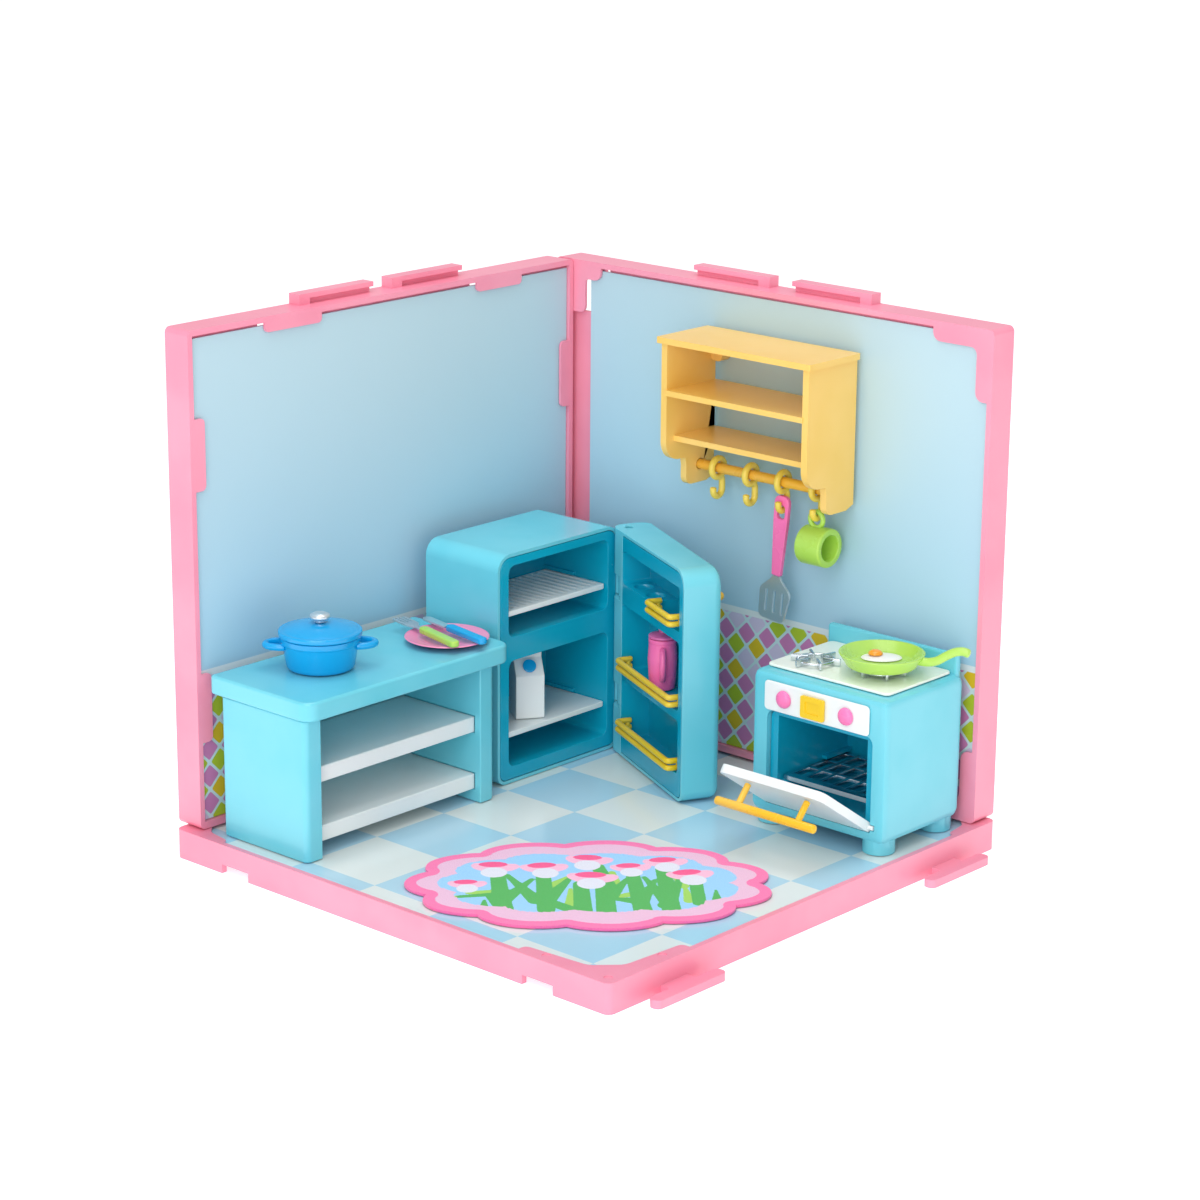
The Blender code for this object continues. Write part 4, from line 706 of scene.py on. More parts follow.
ACCENTS = (
    ((-39.5, -9.0), (-31.6, -8.2), 1.3, 2.0),
    ((-44.0, -12.6), (-42.0, -12.4), 1.1, 1.1),
    ((-13.0, -3.0), (-6.2, 6.4), 2.3, 0.8),
    ((7.4, 9.5), (8.8, -4), 1.2, 2.2),
    ((-6.4, -5.5), (-6.6, -21), 0.7, 2.1),
    ((6.6, -13.2), (14.2, -10.0), 1.2, 2.2),
    ((28.0, 5.2), (30.6, -3), 0.7, 2.0),
    ((31.0, -3.6), (32.0, -16), 0.6, 2.0),
)


def rug_lengths(points, outline, inner):
    """Lengths in millimetres that the print is drawn from, negative inside a shape."""
    angle = np.arctan2(points[:, 1] / RUG_HALF[1], points[:, 0] / RUG_HALF[0])
    made = {"edge": away(points, outline)}
    gap = away(points, inner)
    bound = np.hypot(*(cloud_inner(angle).T))
    made["inner"] = np.where(np.hypot(*points.T) < bound, gap, -gap)
    cups, petals, tips = [], [], []
    for u, v, size, lean in TULIPS:
        c, s = math.cos(math.radians(lean)), math.sin(math.radians(lean))
        local = (points - np.array((u, v))) / size
        local = np.stack([local[:, 0] * c + local[:, 1] * s, local[:, 1] * c - local[:, 0] * s], -1)
        cups.append(oval(local, (0.2, -2.6), (4.2, 4.4)) * size)
        petals.append(oval(local, (-3.6, 1.8), (4.4, 3.0), -38) * size)
        petals.append(oval(local, (3.9, 1.8), (4.4, 3.0), 38) * size)
        tips.append(oval(local, (-0.6, 4.4), (4.6, 2.4), 4) * size)
    made["cup"] = np.min(cups, 0)
    made["petal"] = np.min(petals, 0)
    made["tip"] = np.min(tips, 0)
    made["leaf"] = np.min([blade(points, *row) for row in STEMS + LEAVES], 0)
    made["accent"] = np.min([blade(points, *row) for row in ACCENTS], 0)
    return made


def cloud_inner(angle):
    """The edge of the picture: the rug's cloud, drawn in."""
    spot = cloud(angle, 50.0, 27.5)
    spot[:, 1] = np.where(spot[:, 1] < 0, spot[:, 1] * 0.94, spot[:, 1])
    return spot


def make_rug(settings):
    """Flocked card: a fine fan of rings, so that the print's lengths are kept closely."""
    steps, rows = 560, 88
    thick, soft = 1.0, 0.35
    angle = np.linspace(0, math.tau, steps, endpoint=False)
    outline = cloud(angle, *RUG_HALF)
    inner = cloud_inner(angle)
    shares = np.linspace(0, 1, rows + 1)[1:]
    shape = Shape()
    rings = [[(0.0, 0.0, thick)]]
    for share in shares[:-1]:
        rings.append([(u * share, v * share, thick) for u, v in outline])
    for share, height in ((0.9965, thick - 0.02), (0.999, thick - soft), (0.999, 0.25), (0.996, 0.0)):
        rings.append([(u * share, v * share, height) for u, v in outline])
    rings.append([(0.0, 0.0, 0.0)])
    flat = np.array([p[:2] for ring in rings for p in ring])
    shape.rings([[RUG_PLACE @ Vector(p) for p in ring] for ring in rings])
    rug = shape.piece("rug_cloth", paint("rug_flock"))
    for name, values in rug_lengths(flat, outline, inner).items():
        kept = rug.data.attributes.new(name, "FLOAT", "POINT")
        kept.data.foreach_set("value", values.astype(np.float32))
    belongs(rug, "rug", "rug_flock", "rug")


# ---------------------------------------------------------------- counter and what stands on it


def make_counter(settings):
    moulded("counter_worktop", paint("turquoise_plastic"), settings.edge * 2.2, 4)
    moulded("counter_base", paint("turquoise_plastic"), settings.edge)
    for node in ("counter_upper_shelf", "counter_lower_shelf"):
        moulded(node, paint("white_plastic"), settings.edge)


def dome(radius, height, steps=10):
    """Profile of a low dome from its top to its rim and back under to the middle."""
    points = []
    for step in range(steps + 1):
        angle = math.pi / 2 * (1 - step / steps)
        points.append((radius * math.cos(angle), height * math.sin(angle)))
    return [*points, (0, 0)]


def half_loop(middle, out, across, reach, half, steps=16):
    """A handle's path: half an oval standing out from the middle."""
    path = []
    for step in range(steps + 1):
        angle = math.pi * step / steps - math.pi / 2
        path.append(middle + out * reach * math.cos(angle) + across * half * math.sin(angle))
    return path


def make_pot(settings):
    place = at(-66.8, -62.2, 66.8)
    body = Shape().turned(
        [
            (0, 1.5),
            (10.4, 1.5, 1.4),
            (12.5, 11.4, 0.2),
            (13.7, 11.4, 0.3),
            (13.6, 9.4, 0.4),
            (13.1, 9.0, 0.5),
            (11.5, 0.0, 1.8),
            (0, 0),
        ],
        place,
        settings.steps,
    )
    for side in (0, 180):
        angle = math.radians(47 + side)
        out = Vector((math.cos(angle), math.sin(angle), 0))
        across = Vector((-out.y, out.x, 0))
        body.tube(half_loop(out * 12.4 + Vector((0, 0, 8.4)), out, across, 6.2, 4.2), 1.2, place)
    belongs(body.piece("pot_cast", paint("blue_plastic")), "pot", "blue_plastic", "pot_body")
    lid_place = place @ Matrix.Translation((0, 0, 11.7))
    lid = Shape().turned(
        [
            (0, 4.1),
            (3.5, 4.0),
            (6.5, 3.7),
            (9.5, 3.1),
            (12.0, 2.3, 0.6),
            (12.9, 1.9, 0.4),
            (14.3, 1.8, 0.6),
            (14.3, 0, 0.5),
            (12.2, 0, 0.2),
            (11.5, 1.0),
            (0, 2.4),
        ],
        lid_place,
        settings.steps,
    )
    belongs(lid.piece("pot_lid_cast", paint("blue_plastic")), "pot_lid", "blue_plastic", "pot_lid")
    knob = Shape().turned(
        [(0, 3.2), (2.2, 3.15, 0.6), (3.5, 2.5, 0.7), (3.5, 1.4, 0.5), (2.0, 0.9, 0.4), (1.9, 0), (0, 0)],
        lid_place @ Matrix.Translation((0, 0, 4.4)),
        settings.steps,
    )
    belongs(knob.piece("pot_knob", paint("silver_plastic")), "pot_lid", "silver_plastic", "pot_lid_knob")


def make_tableware(settings):
    dish = Shape().turned(
        [
            (0, 0.9),
            (8.6, 0.9, 1.5),
            (10.2, 1.5, 1.0),
            (14.4, 2.2, 0.2),
            (15.0, 1.9, 0.3),
            (9.3, 0, 1.5),
            (0, 0),
        ],
        at(-57.1, -11.2, 66.8),
        settings.steps,
    )
    belongs(dish.piece("plate_dish", paint("rose_plastic")), "plate", "rose_plastic", "plate")
    for node in ("fork_head", "fork_handle", "knife_blade", "knife_handle"):
        edge = 0.18 if node_slot(node) == "silver_plastic" else 0.6
        moulded(node, paint(node_slot(node)), edge)


# ---------------------------------------------------------------- fridge


FRIDGE_DOOR = at(-44.6, 69.8, 0) @ turn(63.9)


def make_fridge(settings):
    moulded("fridge_shell", paint("turquoise_plastic"), settings.edge)
    # The liner takes the darker turquoise, painted shade for the fridge's inside
    moulded("fridge_liner", paint("deep_turquoise"), settings.edge)
    moulded("fridge_wire_shelf", paint("white_plastic"), settings.edge * 0.6, 2)
    moulded("fridge_lower_shelf", paint("white_plastic"), settings.edge * 0.8)
    for node in ("fridge_hinge_pin_upper", "fridge_hinge_pin_lower"):
        mesh = frame["nodes"][node].data
        mesh.materials.clear()
        mesh.materials.append(paint("silver_plastic"))


def make_fridge_door(settings):
    moulded("fridge_door_shell", paint("turquoise_plastic"), settings.edge)
    # The door liner takes the darker turquoise, painted shade for the door's inside
    moulded("fridge_door_liner", paint("deep_turquoise"), settings.edge)
    wire, front, end, free, bend = 1.05, -7.4, -2.0, 55.7, 1.5
    rows = (("top", (76.8, 74.2), 35.0), ("middle", (47.4, 44.8), 8.1), ("bottom", (24.0, 21.4), 8.1))
    for name, heights, start in rows:
        plan = [(end, -start), (front, -start, bend), (front, -free, bend), (end, -free)]
        rail = Shape()
        for height in heights:
            rail.tube([(*p, height) for p in rounded(plan, 8)], wire, FRIDGE_DOOR, 14)
        for y in (-start, -free):
            post = [(end - wire, y, heights[1]), (end - wire, y, heights[0])]
            rail.tube(post, wire * 0.9, FRIDGE_DOOR, 14)
        obj = rail.piece(f"door_rail_{name}", paint("yellow_plastic"))
        belongs(obj, "fridge_door", "yellow_plastic", f"fridge_door_rail_{name}")
    grip = Shape().tube([(15.9, -46.2, 79.6), (15.9, -22.8, 79.6)], 1.6, FRIDGE_DOOR, 24)
    for y in (-43.0, -26.0):
        grip.tube([(10.8, y, 79.6), (15.9, y, 79.6)], 1.2, FRIDGE_DOOR, 20)
    obj = grip.piece("fridge_grip", paint("amber_plastic"))
    belongs(obj, "fridge_door", "amber_plastic", "fridge_door_handle")


def make_jug(settings):
    place = FRIDGE_DOOR @ Matrix.Translation((0.25, -32.1, 43.3))
    jug = Shape().turned(
        [
            (0, 1.2),
            (3.3, 1.2, 1.0),
            (4.1, 9, 4),
            (3.9, 18.7, 0.2),
            (5.05, 18.7, 0.3),
            (5.1, 17.4, 0.2),
            (4.95, 17.2, 0.2),
            (5.3, 11, 6),
            (4.9, 4, 3),
            (4.5, 0, 0.8),
            (0, 0),
        ],
        place,
        settings.steps,
    )
    angle = math.radians(-112)
    out = Vector((math.cos(angle), math.sin(angle), 0))
    jug.tube(half_loop(out * 4.25 + Vector((0, 0, 10)), out, Vector((0, 0, 1)), 3.9, 5.6), 1.1, place)
    belongs(jug.piece("jug_cast", paint("hot_pink_plastic")), "jug", "hot_pink_plastic", "jug")
    lid = Shape().turned(
        [
            (0, 4.2),
            (1.2, 4.1, 0.5),
            (1.8, 3.2, 0.6),
            (1.2, 1.9, 0.4),
            (3.8, 1.3, 0.8),
            (5.1, 0.8, 0.4),
            (5.1, 0, 0.2),
            (0, 0),
        ],
        place @ Matrix.Translation((0, 0, 19.0)),
        settings.steps,
    )
    belongs(lid.piece("jug_lid_cast", paint("pale_pink_plastic")), "jug", "pale_pink_plastic", "jug_lid")


def make_milk(settings):
    moulded("milk_carton", paint("white_plastic"), settings.edge * 0.7)
    moulded("milk_cap", paint("blue_plastic"), settings.edge * 0.7)


# ---------------------------------------------------------------- stove


def make_stove(settings):
    moulded("stove_shell", paint("turquoise_plastic"), settings.edge)
    # The oven liner takes the darker turquoise, painted shade for the oven's inside
    moulded("oven_liner", paint("deep_turquoise"), settings.edge * 0.5)
    moulded("hob_plate", paint("mint_white_plastic"), settings.edge * 0.8)
    moulded("control_panel", paint("white_plastic"), settings.edge)
    moulded("oven_display", paint("display_yellow_plastic"), settings.edge * 0.6)
    for side, x in (("left", 51.1), ("right", 77.8)):
        place = at(x, 42.0, 57.0) @ turn(90, "X")
        knob = Shape().turned(dome(3.1, 1.9), place, settings.steps)
        obj = knob.piece(f"stove_knob_{side}", paint("hot_pink_plastic"))
        belongs(obj, "stove", "hot_pink_plastic", f"knob_{side}")


def geometry_tree(name, inputs):
    """An empty geometry tree with its wiring helper, inputs and output."""
    tree = bpy.data.node_groups.new(name, "GeometryNodeTree")
    ids = {}
    for label, kind, value in inputs:
        socket = tree.interface.new_socket(name=label, in_out="INPUT", socket_type=kind)
        if value is not None:
            socket.default_value = value
        ids[label] = socket.identifier
    tree.interface.new_socket(name="Geometry", in_out="OUTPUT", socket_type="NodeSocketGeometry")
    web = Web(tree)
    return tree, web, web.add("NodeGroupInput").outputs, web.add("NodeGroupOutput").inputs, ids


def prong_ring_tree():
    """A wire ring with upright prongs set round it."""
    tree, web, given, out, ids = geometry_tree(
        "Prong ring",
        [
            ("Prong", "NodeSocketObject", None),
            ("Prongs", "NodeSocketInt", 6),
            ("Ring radius", "NodeSocketFloat", 0.0063),
            ("Wire", "NodeSocketFloat", 0.00055),
            ("Finish", "NodeSocketMaterial", None),
        ],
    )
    loop = web.add("GeometryNodeCurvePrimitiveCircle")
    loop.inputs["Resolution"].default_value = 72
    web.plug(given["Ring radius"], loop.inputs["Radius"])
    wire = web.add("GeometryNodeCurvePrimitiveCircle")
    wire.inputs["Resolution"].default_value = 12
    web.plug(given["Wire"], wire.inputs["Radius"])
    sweep = web.add("GeometryNodeCurveToMesh")
    web.plug(loop.outputs["Curve"], sweep.inputs["Curve"])
    web.plug(wire.outputs["Curve"], sweep.inputs["Profile Curve"])
    spots = web.add("GeometryNodeCurvePrimitiveCircle")
    web.plug(given["Prongs"], spots.inputs["Resolution"])
    web.plug(given["Ring radius"], spots.inputs["Radius"])
    points = web.add("GeometryNodeCurveToPoints", mode="EVALUATED")
    web.plug(spots.outputs["Curve"], points.inputs["Curve"])
    source = web.add("GeometryNodeObjectInfo", transform_space="ORIGINAL")
    web.plug(given["Prong"], source.inputs["Object"])
    copies = web.add("GeometryNodeInstanceOnPoints")
    web.plug(points.outputs["Points"], copies.inputs["Points"])
    web.plug(source.outputs["Geometry"], copies.inputs["Instance"])
    index = web.add("GeometryNodeInputIndex")
    angle = web.math("DIVIDE", web.math("MULTIPLY", index.outputs[0], math.tau), given["Prongs"])
    facing = web.add("ShaderNodeCombineXYZ")
    web.plug(angle, facing.inputs["Z"])
    web.plug(facing.outputs[0], copies.inputs["Rotation"])
    together = web.add("GeometryNodeJoinGeometry")
    web.plug(sweep.outputs["Mesh"], together.inputs[0])
    web.plug(copies.outputs["Instances"], together.inputs[0])
    realised = web.add("GeometryNodeRealizeInstances")
    web.plug(together.outputs[0], realised.inputs[0])
    finish = web.add("GeometryNodeSetMaterial")
    web.plug(realised.outputs[0], finish.inputs["Geometry"])
    web.plug(given["Finish"], finish.inputs["Material"])
    web.plug(finish.outputs[0], out[0])
    return tree, ids


def bar_grid_tree():
    """Bars in two directions: rows of one object spaced along X and of another along Y."""
    tree, web, given, out, ids = geometry_tree(
        "Bar grid",
        [
            ("Long bar", "NodeSocketObject", None),
            ("Cross bar", "NodeSocketObject", None),
            ("Long bars", "NodeSocketInt", 7),
            ("Cross bars", "NodeSocketInt", 4),
            ("Long pitch", "NodeSocketVector", (0.006, 0, 0)),
            ("Cross pitch", "NodeSocketVector", (0, 0.01, 0)),
            ("Finish", "NodeSocketMaterial", None),
        ],
    )
    together = web.add("GeometryNodeJoinGeometry")
    for way in ("Long", "Cross"):
        piece, count, pitch = f"{way} bar", f"{way} bars", f"{way} pitch"
        line = web.add("GeometryNodeMeshLine")
        web.plug(given[count], line.inputs["Count"])
        web.plug(given[pitch], line.inputs["Offset"])
        source = web.add("GeometryNodeObjectInfo", transform_space="ORIGINAL")
        web.plug(given[piece], source.inputs["Object"])
        copies = web.add("GeometryNodeInstanceOnPoints")
        web.plug(line.outputs[0], copies.inputs["Points"])
        web.plug(source.outputs["Geometry"], copies.inputs["Instance"])
        web.plug(copies.outputs["Instances"], together.inputs[0])
    realised = web.add("GeometryNodeRealizeInstances")
    web.plug(together.outputs[0], realised.inputs[0])
    finish = web.add("GeometryNodeSetMaterial")
    web.plug(realised.outputs[0], finish.inputs["Geometry"])
    web.plug(given["Finish"], finish.inputs["Material"])
    web.plug(finish.outputs[0], out[0])
    return tree, ids


def grown(name, tree_and_ids, values, place, material):
    """The mesh that a geometry tree makes with these inputs, moved to its place."""
    tree, ids = tree_and_ids
    carrier = bpy.data.objects.new(name + "_carrier", bpy.data.meshes.new(name))
    bpy.context.scene.collection.objects.link(carrier)
    modifier = carrier.modifiers.new("Grow", "NODES")
    modifier.node_group = tree
    for label, value in values.items():
        modifier[ids[label]] = value
    mesh = evaluated(carrier)
    bpy.data.objects.remove(carrier)
    mesh.name = name
    mesh.transform(place)
    return link(name, mesh, material)


def bar(name, low, high, edge=0.12):
    """A short bar near the origin, in metres, for a geometry tree to repeat."""
    (x0, y0), (x1, y1) = low[:2], high[:2]
    corners = [(x0, y0, edge), (x1, y0, edge), (x1, y1, edge), (x0, y1, edge)]
    shape = Shape().plate(corners, low[2], high[2], Matrix.Identity(4), edge, 2)
    return shape.piece(name, paint("silver_wire"))


def metres(place):
    """The same place with its shift in metres."""
    moved = place.copy()
    moved.translation *= MM
    return moved


BURNERS = {"left": (51.7, 58.2), "right": (75.3, 64.3)}


def make_grates(settings):
    low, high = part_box("burner_grate_left")
    half = (high.z - low.z) / MM / 2
    prong = bar("prong", (-3.7, -0.45, -half), (2.6, 0.45, half), 0.2)
    tree = prong_ring_tree()
    values = {
        "Prong": prong,
        "Prongs": 6,
        "Ring radius": 0.0063,
        "Wire": 0.00055,
        "Finish": paint("silver_wire"),
    }
    for side, spot in BURNERS.items():
        place = metres(at(*spot, (low.z + high.z) / MM / 2) @ turn(20))
        obj = grown(f"grate_{side}", tree, values, place, paint("silver_wire"))
        belongs(obj, "stove", "silver_wire", f"burner_grate_{side}")
    bpy.data.objects.remove(prong)


def make_oven(settings):
    moulded("oven_door", paint("white_plastic"), settings.edge * 1.2, 4)
    hinge = at(0, 43.6, 19.7) @ turn(56, "X")
    grip = Shape().tube([(45.8, -10.6, 28.2), (87.2, -10.6, 28.2)], 1.55, hinge, 28)
    for x in (54.6, 80.0):
        grip.tube([(x, -2.5, 27.3), (x, -10.6, 28.2)], 1.15, hinge, 20)
    obj = grip.piece("oven_grip", paint("amber_plastic"))
    belongs(obj, "oven_door", "amber_plastic", "oven_door_handle")
    low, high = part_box("oven_rack")
    size = (high - low) / MM
    width, columns, rows, front = 1.6, 6, 3, 2.6
    long_bar = bar("long_bar", (0, 0, 0), (width, size.y, size.z), 0.3)
    cross_bar = bar("cross_bar", (0, 0, 0.1), (size.x, width, size.z - 0.1), 0.3)
    across = (size.x - width) / columns * MM
    along = (size.y - front - width) / rows * MM
    values = {
        "Long bar": long_bar,
        "Cross bar": cross_bar,
        "Long bars": columns + 1,
        "Cross bars": rows + 1,
        "Long pitch": (across, 0, 0),
        "Cross pitch": (0, along, 0),
        "Finish": paint("silver_wire"),
    }
    place = Matrix.Translation(low + Vector((0, front * MM, 0)))
    bars = grown("rack_bars", bar_grid_tree(), values, place, paint("silver_wire"))
    for vertex in bars.data.vertices:
        vertex.co.y = min(vertex.co.y, high.y)
    belongs(bars, "oven_rack", "silver_wire", "oven_rack")
    lip = Shape().plate(
        [(0, 0, 0.4), (size.x, 0, 0.4), (size.x, front + 0.4, 0.2), (0, front + 0.4, 0.2)],
        0,
        size.z,
        Matrix.Translation(low / MM),
        0.3,
    )
    belongs(lip.piece("rack_lip", paint("silver_wire")), "oven_rack", "silver_wire")
    for helper in (long_bar, cross_bar):
        bpy.data.objects.remove(helper)


def make_pan(settings):
    place = at(*BURNERS["right"], 69.3)
    pan = Shape().turned(
        [(0, 1.6), (10.6, 1.6, 1.6), (13.8, 4.9, 0.3), (14.9, 4.9, 0.5), (11.7, 0, 1.6), (0, 0)],
        place,
        settings.steps,
    )
    way = ((12.9, 3.3), (16.5, 3.3), (19.5, 4.2), (22.5, 6.2), (25.5, 7.9), (28.2, 8.5), (30.2, 8.1))
    angle = math.radians(19.5)
    out = Vector((math.cos(angle), math.sin(angle), 0))
    pan.tube(smooth_path([out * u + Vector((0, 0, v)) for u, v in way]), 1.5, place, 24)
    belongs(pan.piece("pan_cast", paint("lime_plastic")), "pan", "lime_plastic", "frying_pan")
    long = Matrix.Diagonal((1.4, 1, 1, 1))
    white = Shape().turned(dome(5.0, 1.0), at(73.4, 66.7, 71.2) @ turn(42) @ long, settings.steps)
    belongs(white.piece("egg_white_cast", paint("egg_plastic")), "egg", "egg_plastic", "egg_white")
    yolk = Shape().turned(dome(2.5, 1.5), at(71.7, 65.5, 72.5), settings.steps)
    belongs(yolk.piece("egg_yolk_cast", paint("yolk_plastic")), "egg", "yolk_plastic", "egg_yolk")


# ---------------------------------------------------------------- wall shelf and what hangs on it


HOOKS = (-13.0, 2.2, 16.8, 32.2)
RAIL = (81.5, 120.2)


def circle(radius, steps=64, axes=(0, 1)):
    path = []
    for step in range(steps):
        angle = math.tau * step / steps
        spot = [0.0, 0.0, 0.0]
        spot[axes[0]], spot[axes[1]] = radius * math.cos(angle), radius * math.sin(angle)
        path.append(tuple(spot))
    return path


def make_wall_shelf(settings):
    moulded("wall_shelf_unit", paint("cream_yellow_plastic"), settings.edge)
    rail = Shape().tube([(-21.6, 0, 0), (39.6, 0, 0)], 1.85, at(0, *RAIL), 36)
    obj = rail.piece("rail_bar", paint("deep_yellow_plastic"))
    belongs(obj, "wall_shelf", "deep_yellow_plastic", "utensil_rail")


def make_hooks(settings):
    eye, wire, bend, drop = 3.35, 1.2, 2.4, 8.0
    for index, x in enumerate(HOOKS, start=1):
        place = at(x, *RAIL)
        hook = Shape().tube(circle(eye, axes=(1, 2)), wire, place, 16, cyclic=True)
        path = [(0, 1.2, -eye + 0.2), (0, 2.1, -eye - 0.8), (0, bend, -eye - 2.0)]
        for step in range(13):
            angle = -math.pi * step / 12
            path.append((0, bend * math.cos(angle), bend * math.sin(angle) - drop))
        path.append((0, -bend + 0.05, -drop + 0.7))
        hook.tube(smooth_path(path, 3), wire, place, 16)
        obj = hook.piece(f"hook_{index}_cast", paint("lemon_plastic"))
        belongs(obj, f"hook_{index}", "lemon_plastic", f"hook_{index}")


def make_utensils(settings):
    moulded("spatula_handle", paint("hot_pink_plastic"), settings.edge * 0.8)
    moulded("spatula_blade", paint("silver_plastic"), settings.edge * 0.4, 2)
    place = at(HOOKS[3], RAIL[0], RAIL[1] - 10.4)
    cup_place = place @ Matrix.Translation((0.8, 0, -9.8)) @ turn(90, "Y")
    mug = Shape().turned(
        [(0, -3.9), (4.2, -3.9, 0.8), (4.7, 5.5, 0.5), (7.0, 5.5, 0.9), (7.0, -5.5, 1.2), (0, -5.5)],
        cup_place,
        settings.steps,
    )
    mug.tube(circle(2.8, axes=(0, 2)), 0.9, place @ Matrix.Translation((0, 0, -0.4)), 18, cyclic=True)
    belongs(mug.piece("mug_cast", paint("lime_plastic")), "mug", "lime_plastic", "mug")


# ---------------------------------------------------------------- stage


LENS = 97.96
CAMERA_PLACE = (0.7097, -0.785285, 0.39893)
CAMERA_TURN = (42.06, 16.21, 0.47)  # heading, rise and roll in degrees
LIGHTS = (  # name, place, size in metres, watts
    ("key", (0.25, -0.75, 0.95), 0.7, 2.4),
    ("front", (0.66, -1.05, 0.5), 0.9, 5.2),
    ("top", (0.0, 0.0, 1.1), 0.8, 4.2),
)
LIT_AT = Vector((0, 0, 0.06))
WORLD_STRENGTH = 0.56
GROUND_GLOW = 0.55


def make_stage(settings):
    """White ground, soft lights and the camera."""
    ground = bpy.data.meshes.new("ground")
    side = 6.0
    corners = [(-side, -side, 0), (side, -side, 0), (side, side, 0), (-side, side, 0)]
    ground.from_pydata(corners, [], [(0, 1, 2, 3)])
    material, _, surface = new_material("white ground")
    surface["Base Color"].default_value = (0.9, 0.9, 0.9, 1)
    surface["Roughness"].default_value = 0.8
    surface["Emission Color"].default_value = (1, 1, 1, 1)
    surface["Emission Strength"].default_value = GROUND_GLOW
    floor = link("ground", ground, material)
    world = bpy.data.worlds.new("studio")
    world.use_nodes = True
    world.node_tree.nodes["Background"].inputs["Color"].default_value = (1, 1, 1, 1)
    world.node_tree.nodes["Background"].inputs["Strength"].default_value = WORLD_STRENGTH
    bpy.context.scene.world = world
    for name, spot, size, watts in LIGHTS:
        data = bpy.data.lights.new(name, "AREA")
        data.shape = "DISK"
        data.size = size
        data.energy = watts
        light = bpy.data.objects.new(name, data)
        bpy.context.scene.collection.objects.link(light)
        light.location = spot
        light.rotation_euler = (LIT_AT - Vector(spot)).to_track_quat("-Z", "Y").to_euler()
    camera = bpy.data.objects.new("camera", bpy.data.cameras.new("camera"))
    bpy.context.scene.collection.objects.link(camera)
    bpy.context.scene.camera = camera
    camera.data.lens = LENS
    camera.data.sensor_width = 36.0
    camera.data.clip_start = 0.05
    heading, rise, roll = (math.radians(v) for v in CAMERA_TURN)
    forward = Vector(
        (-math.sin(heading) * math.cos(rise), math.cos(heading) * math.cos(rise), -math.sin(rise))
    )
    right = forward.cross(Vector((0, 0, 1))).normalized()
    up = right.cross(forward)
    c, s = math.cos(roll), math.sin(roll)
    across = right * c + up * s
    upright = up * c - right * s
    rotation = Matrix((across, upright, -forward)).transposed()
    camera.matrix_world = Matrix.Translation(CAMERA_PLACE) @ rotation.to_4x4()
    view = bpy.context.scene.view_settings
    view.view_transform = "Standard"
    view.look = "None"


# ---------------------------------------------------------------- add-on


def colour_choice(name, words, red, green, blue):
    """A colour that the sidebar offers, given in 0 to 255."""
    return bpy.props.FloatVectorProperty(
        name=name,
        description=words,
        default=(red / 255, green / 255, blue / 255),
        min=0.0,
        max=1.0,
        subtype="COLOR_GAMMA",
    )


class ToyKitchenSettings(bpy.types.PropertyGroup):
    edge: bpy.props.FloatProperty(
        name="Edge",
        description="Rounding of moulded edges, in millimetres",
        default=0.45,
        min=0.1,
        max=1.0,
    )
    steps: bpy.props.IntProperty(
        name="Steps", description="Sides of each turned piece", default=80, min=24, max=160
    )
    panels: colour_choice("Panels", "Colour of the floor and wall panels", 248, 156, 180)
    furniture: colour_choice("Furniture", "Colour of the counter, fridge and stove", 116, 209, 226)
    shelf: colour_choice("Wall shelf", "Colour of the wall shelf", 251, 208, 118)


class TOYKITCHEN_OT_room(bpy.types.Operator):
    """Moulds the floor and wall panels"""

    bl_idname = "toy_kitchen.room"
    bl_label = "Room panels"
    bl_options = {"REGISTER", "UNDO"}

    def execute(self, context):
        make_room(context.scene.toy_kitchen)
        return {"FINISHED"}


class TOYKITCHEN_OT_cards(bpy.types.Operator):
    """Prints the floor and wall cards"""

    bl_idname = "toy_kitchen.cards"
    bl_label = "Printed cards"
    bl_options = {"REGISTER", "UNDO"}

    def execute(self, context):
        make_cards(context.scene.toy_kitchen)
        return {"FINISHED"}


class TOYKITCHEN_OT_rug(bpy.types.Operator):
    """Cuts and prints the flocked rug"""

    bl_idname = "toy_kitchen.rug"
    bl_label = "Rug"
    bl_options = {"REGISTER", "UNDO"}

    def execute(self, context):
        make_rug(context.scene.toy_kitchen)
        return {"FINISHED"}


class TOYKITCHEN_OT_counter(bpy.types.Operator):
    """Builds the counter and its shelves"""

    bl_idname = "toy_kitchen.counter"
    bl_label = "Counter"
    bl_options = {"REGISTER", "UNDO"}

    def execute(self, context):
        make_counter(context.scene.toy_kitchen)
        return {"FINISHED"}


class TOYKITCHEN_OT_pot(bpy.types.Operator):
    """Turns the pot, its lid and its knob"""

    bl_idname = "toy_kitchen.pot"
    bl_label = "Pot"
    bl_options = {"REGISTER", "UNDO"}

    def execute(self, context):
        make_pot(context.scene.toy_kitchen)
        return {"FINISHED"}


class TOYKITCHEN_OT_tableware(bpy.types.Operator):
    """Makes the plate, fork and knife"""

    bl_idname = "toy_kitchen.tableware"
    bl_label = "Tableware"
    bl_options = {"REGISTER", "UNDO"}

    def execute(self, context):
        make_tableware(context.scene.toy_kitchen)
        return {"FINISHED"}


class TOYKITCHEN_OT_fridge(bpy.types.Operator):
    """Builds the fridge and its shelves"""

    bl_idname = "toy_kitchen.fridge"
    bl_label = "Fridge"
    bl_options = {"REGISTER", "UNDO"}

    def execute(self, context):
        make_fridge(context.scene.toy_kitchen)
        return {"FINISHED"}


class TOYKITCHEN_OT_fridge_door(bpy.types.Operator):
    """Builds the fridge door, rails and grip"""

    bl_idname = "toy_kitchen.fridge_door"
    bl_label = "Fridge door"
    bl_options = {"REGISTER", "UNDO"}

    def execute(self, context):
        make_fridge_door(context.scene.toy_kitchen)
        return {"FINISHED"}


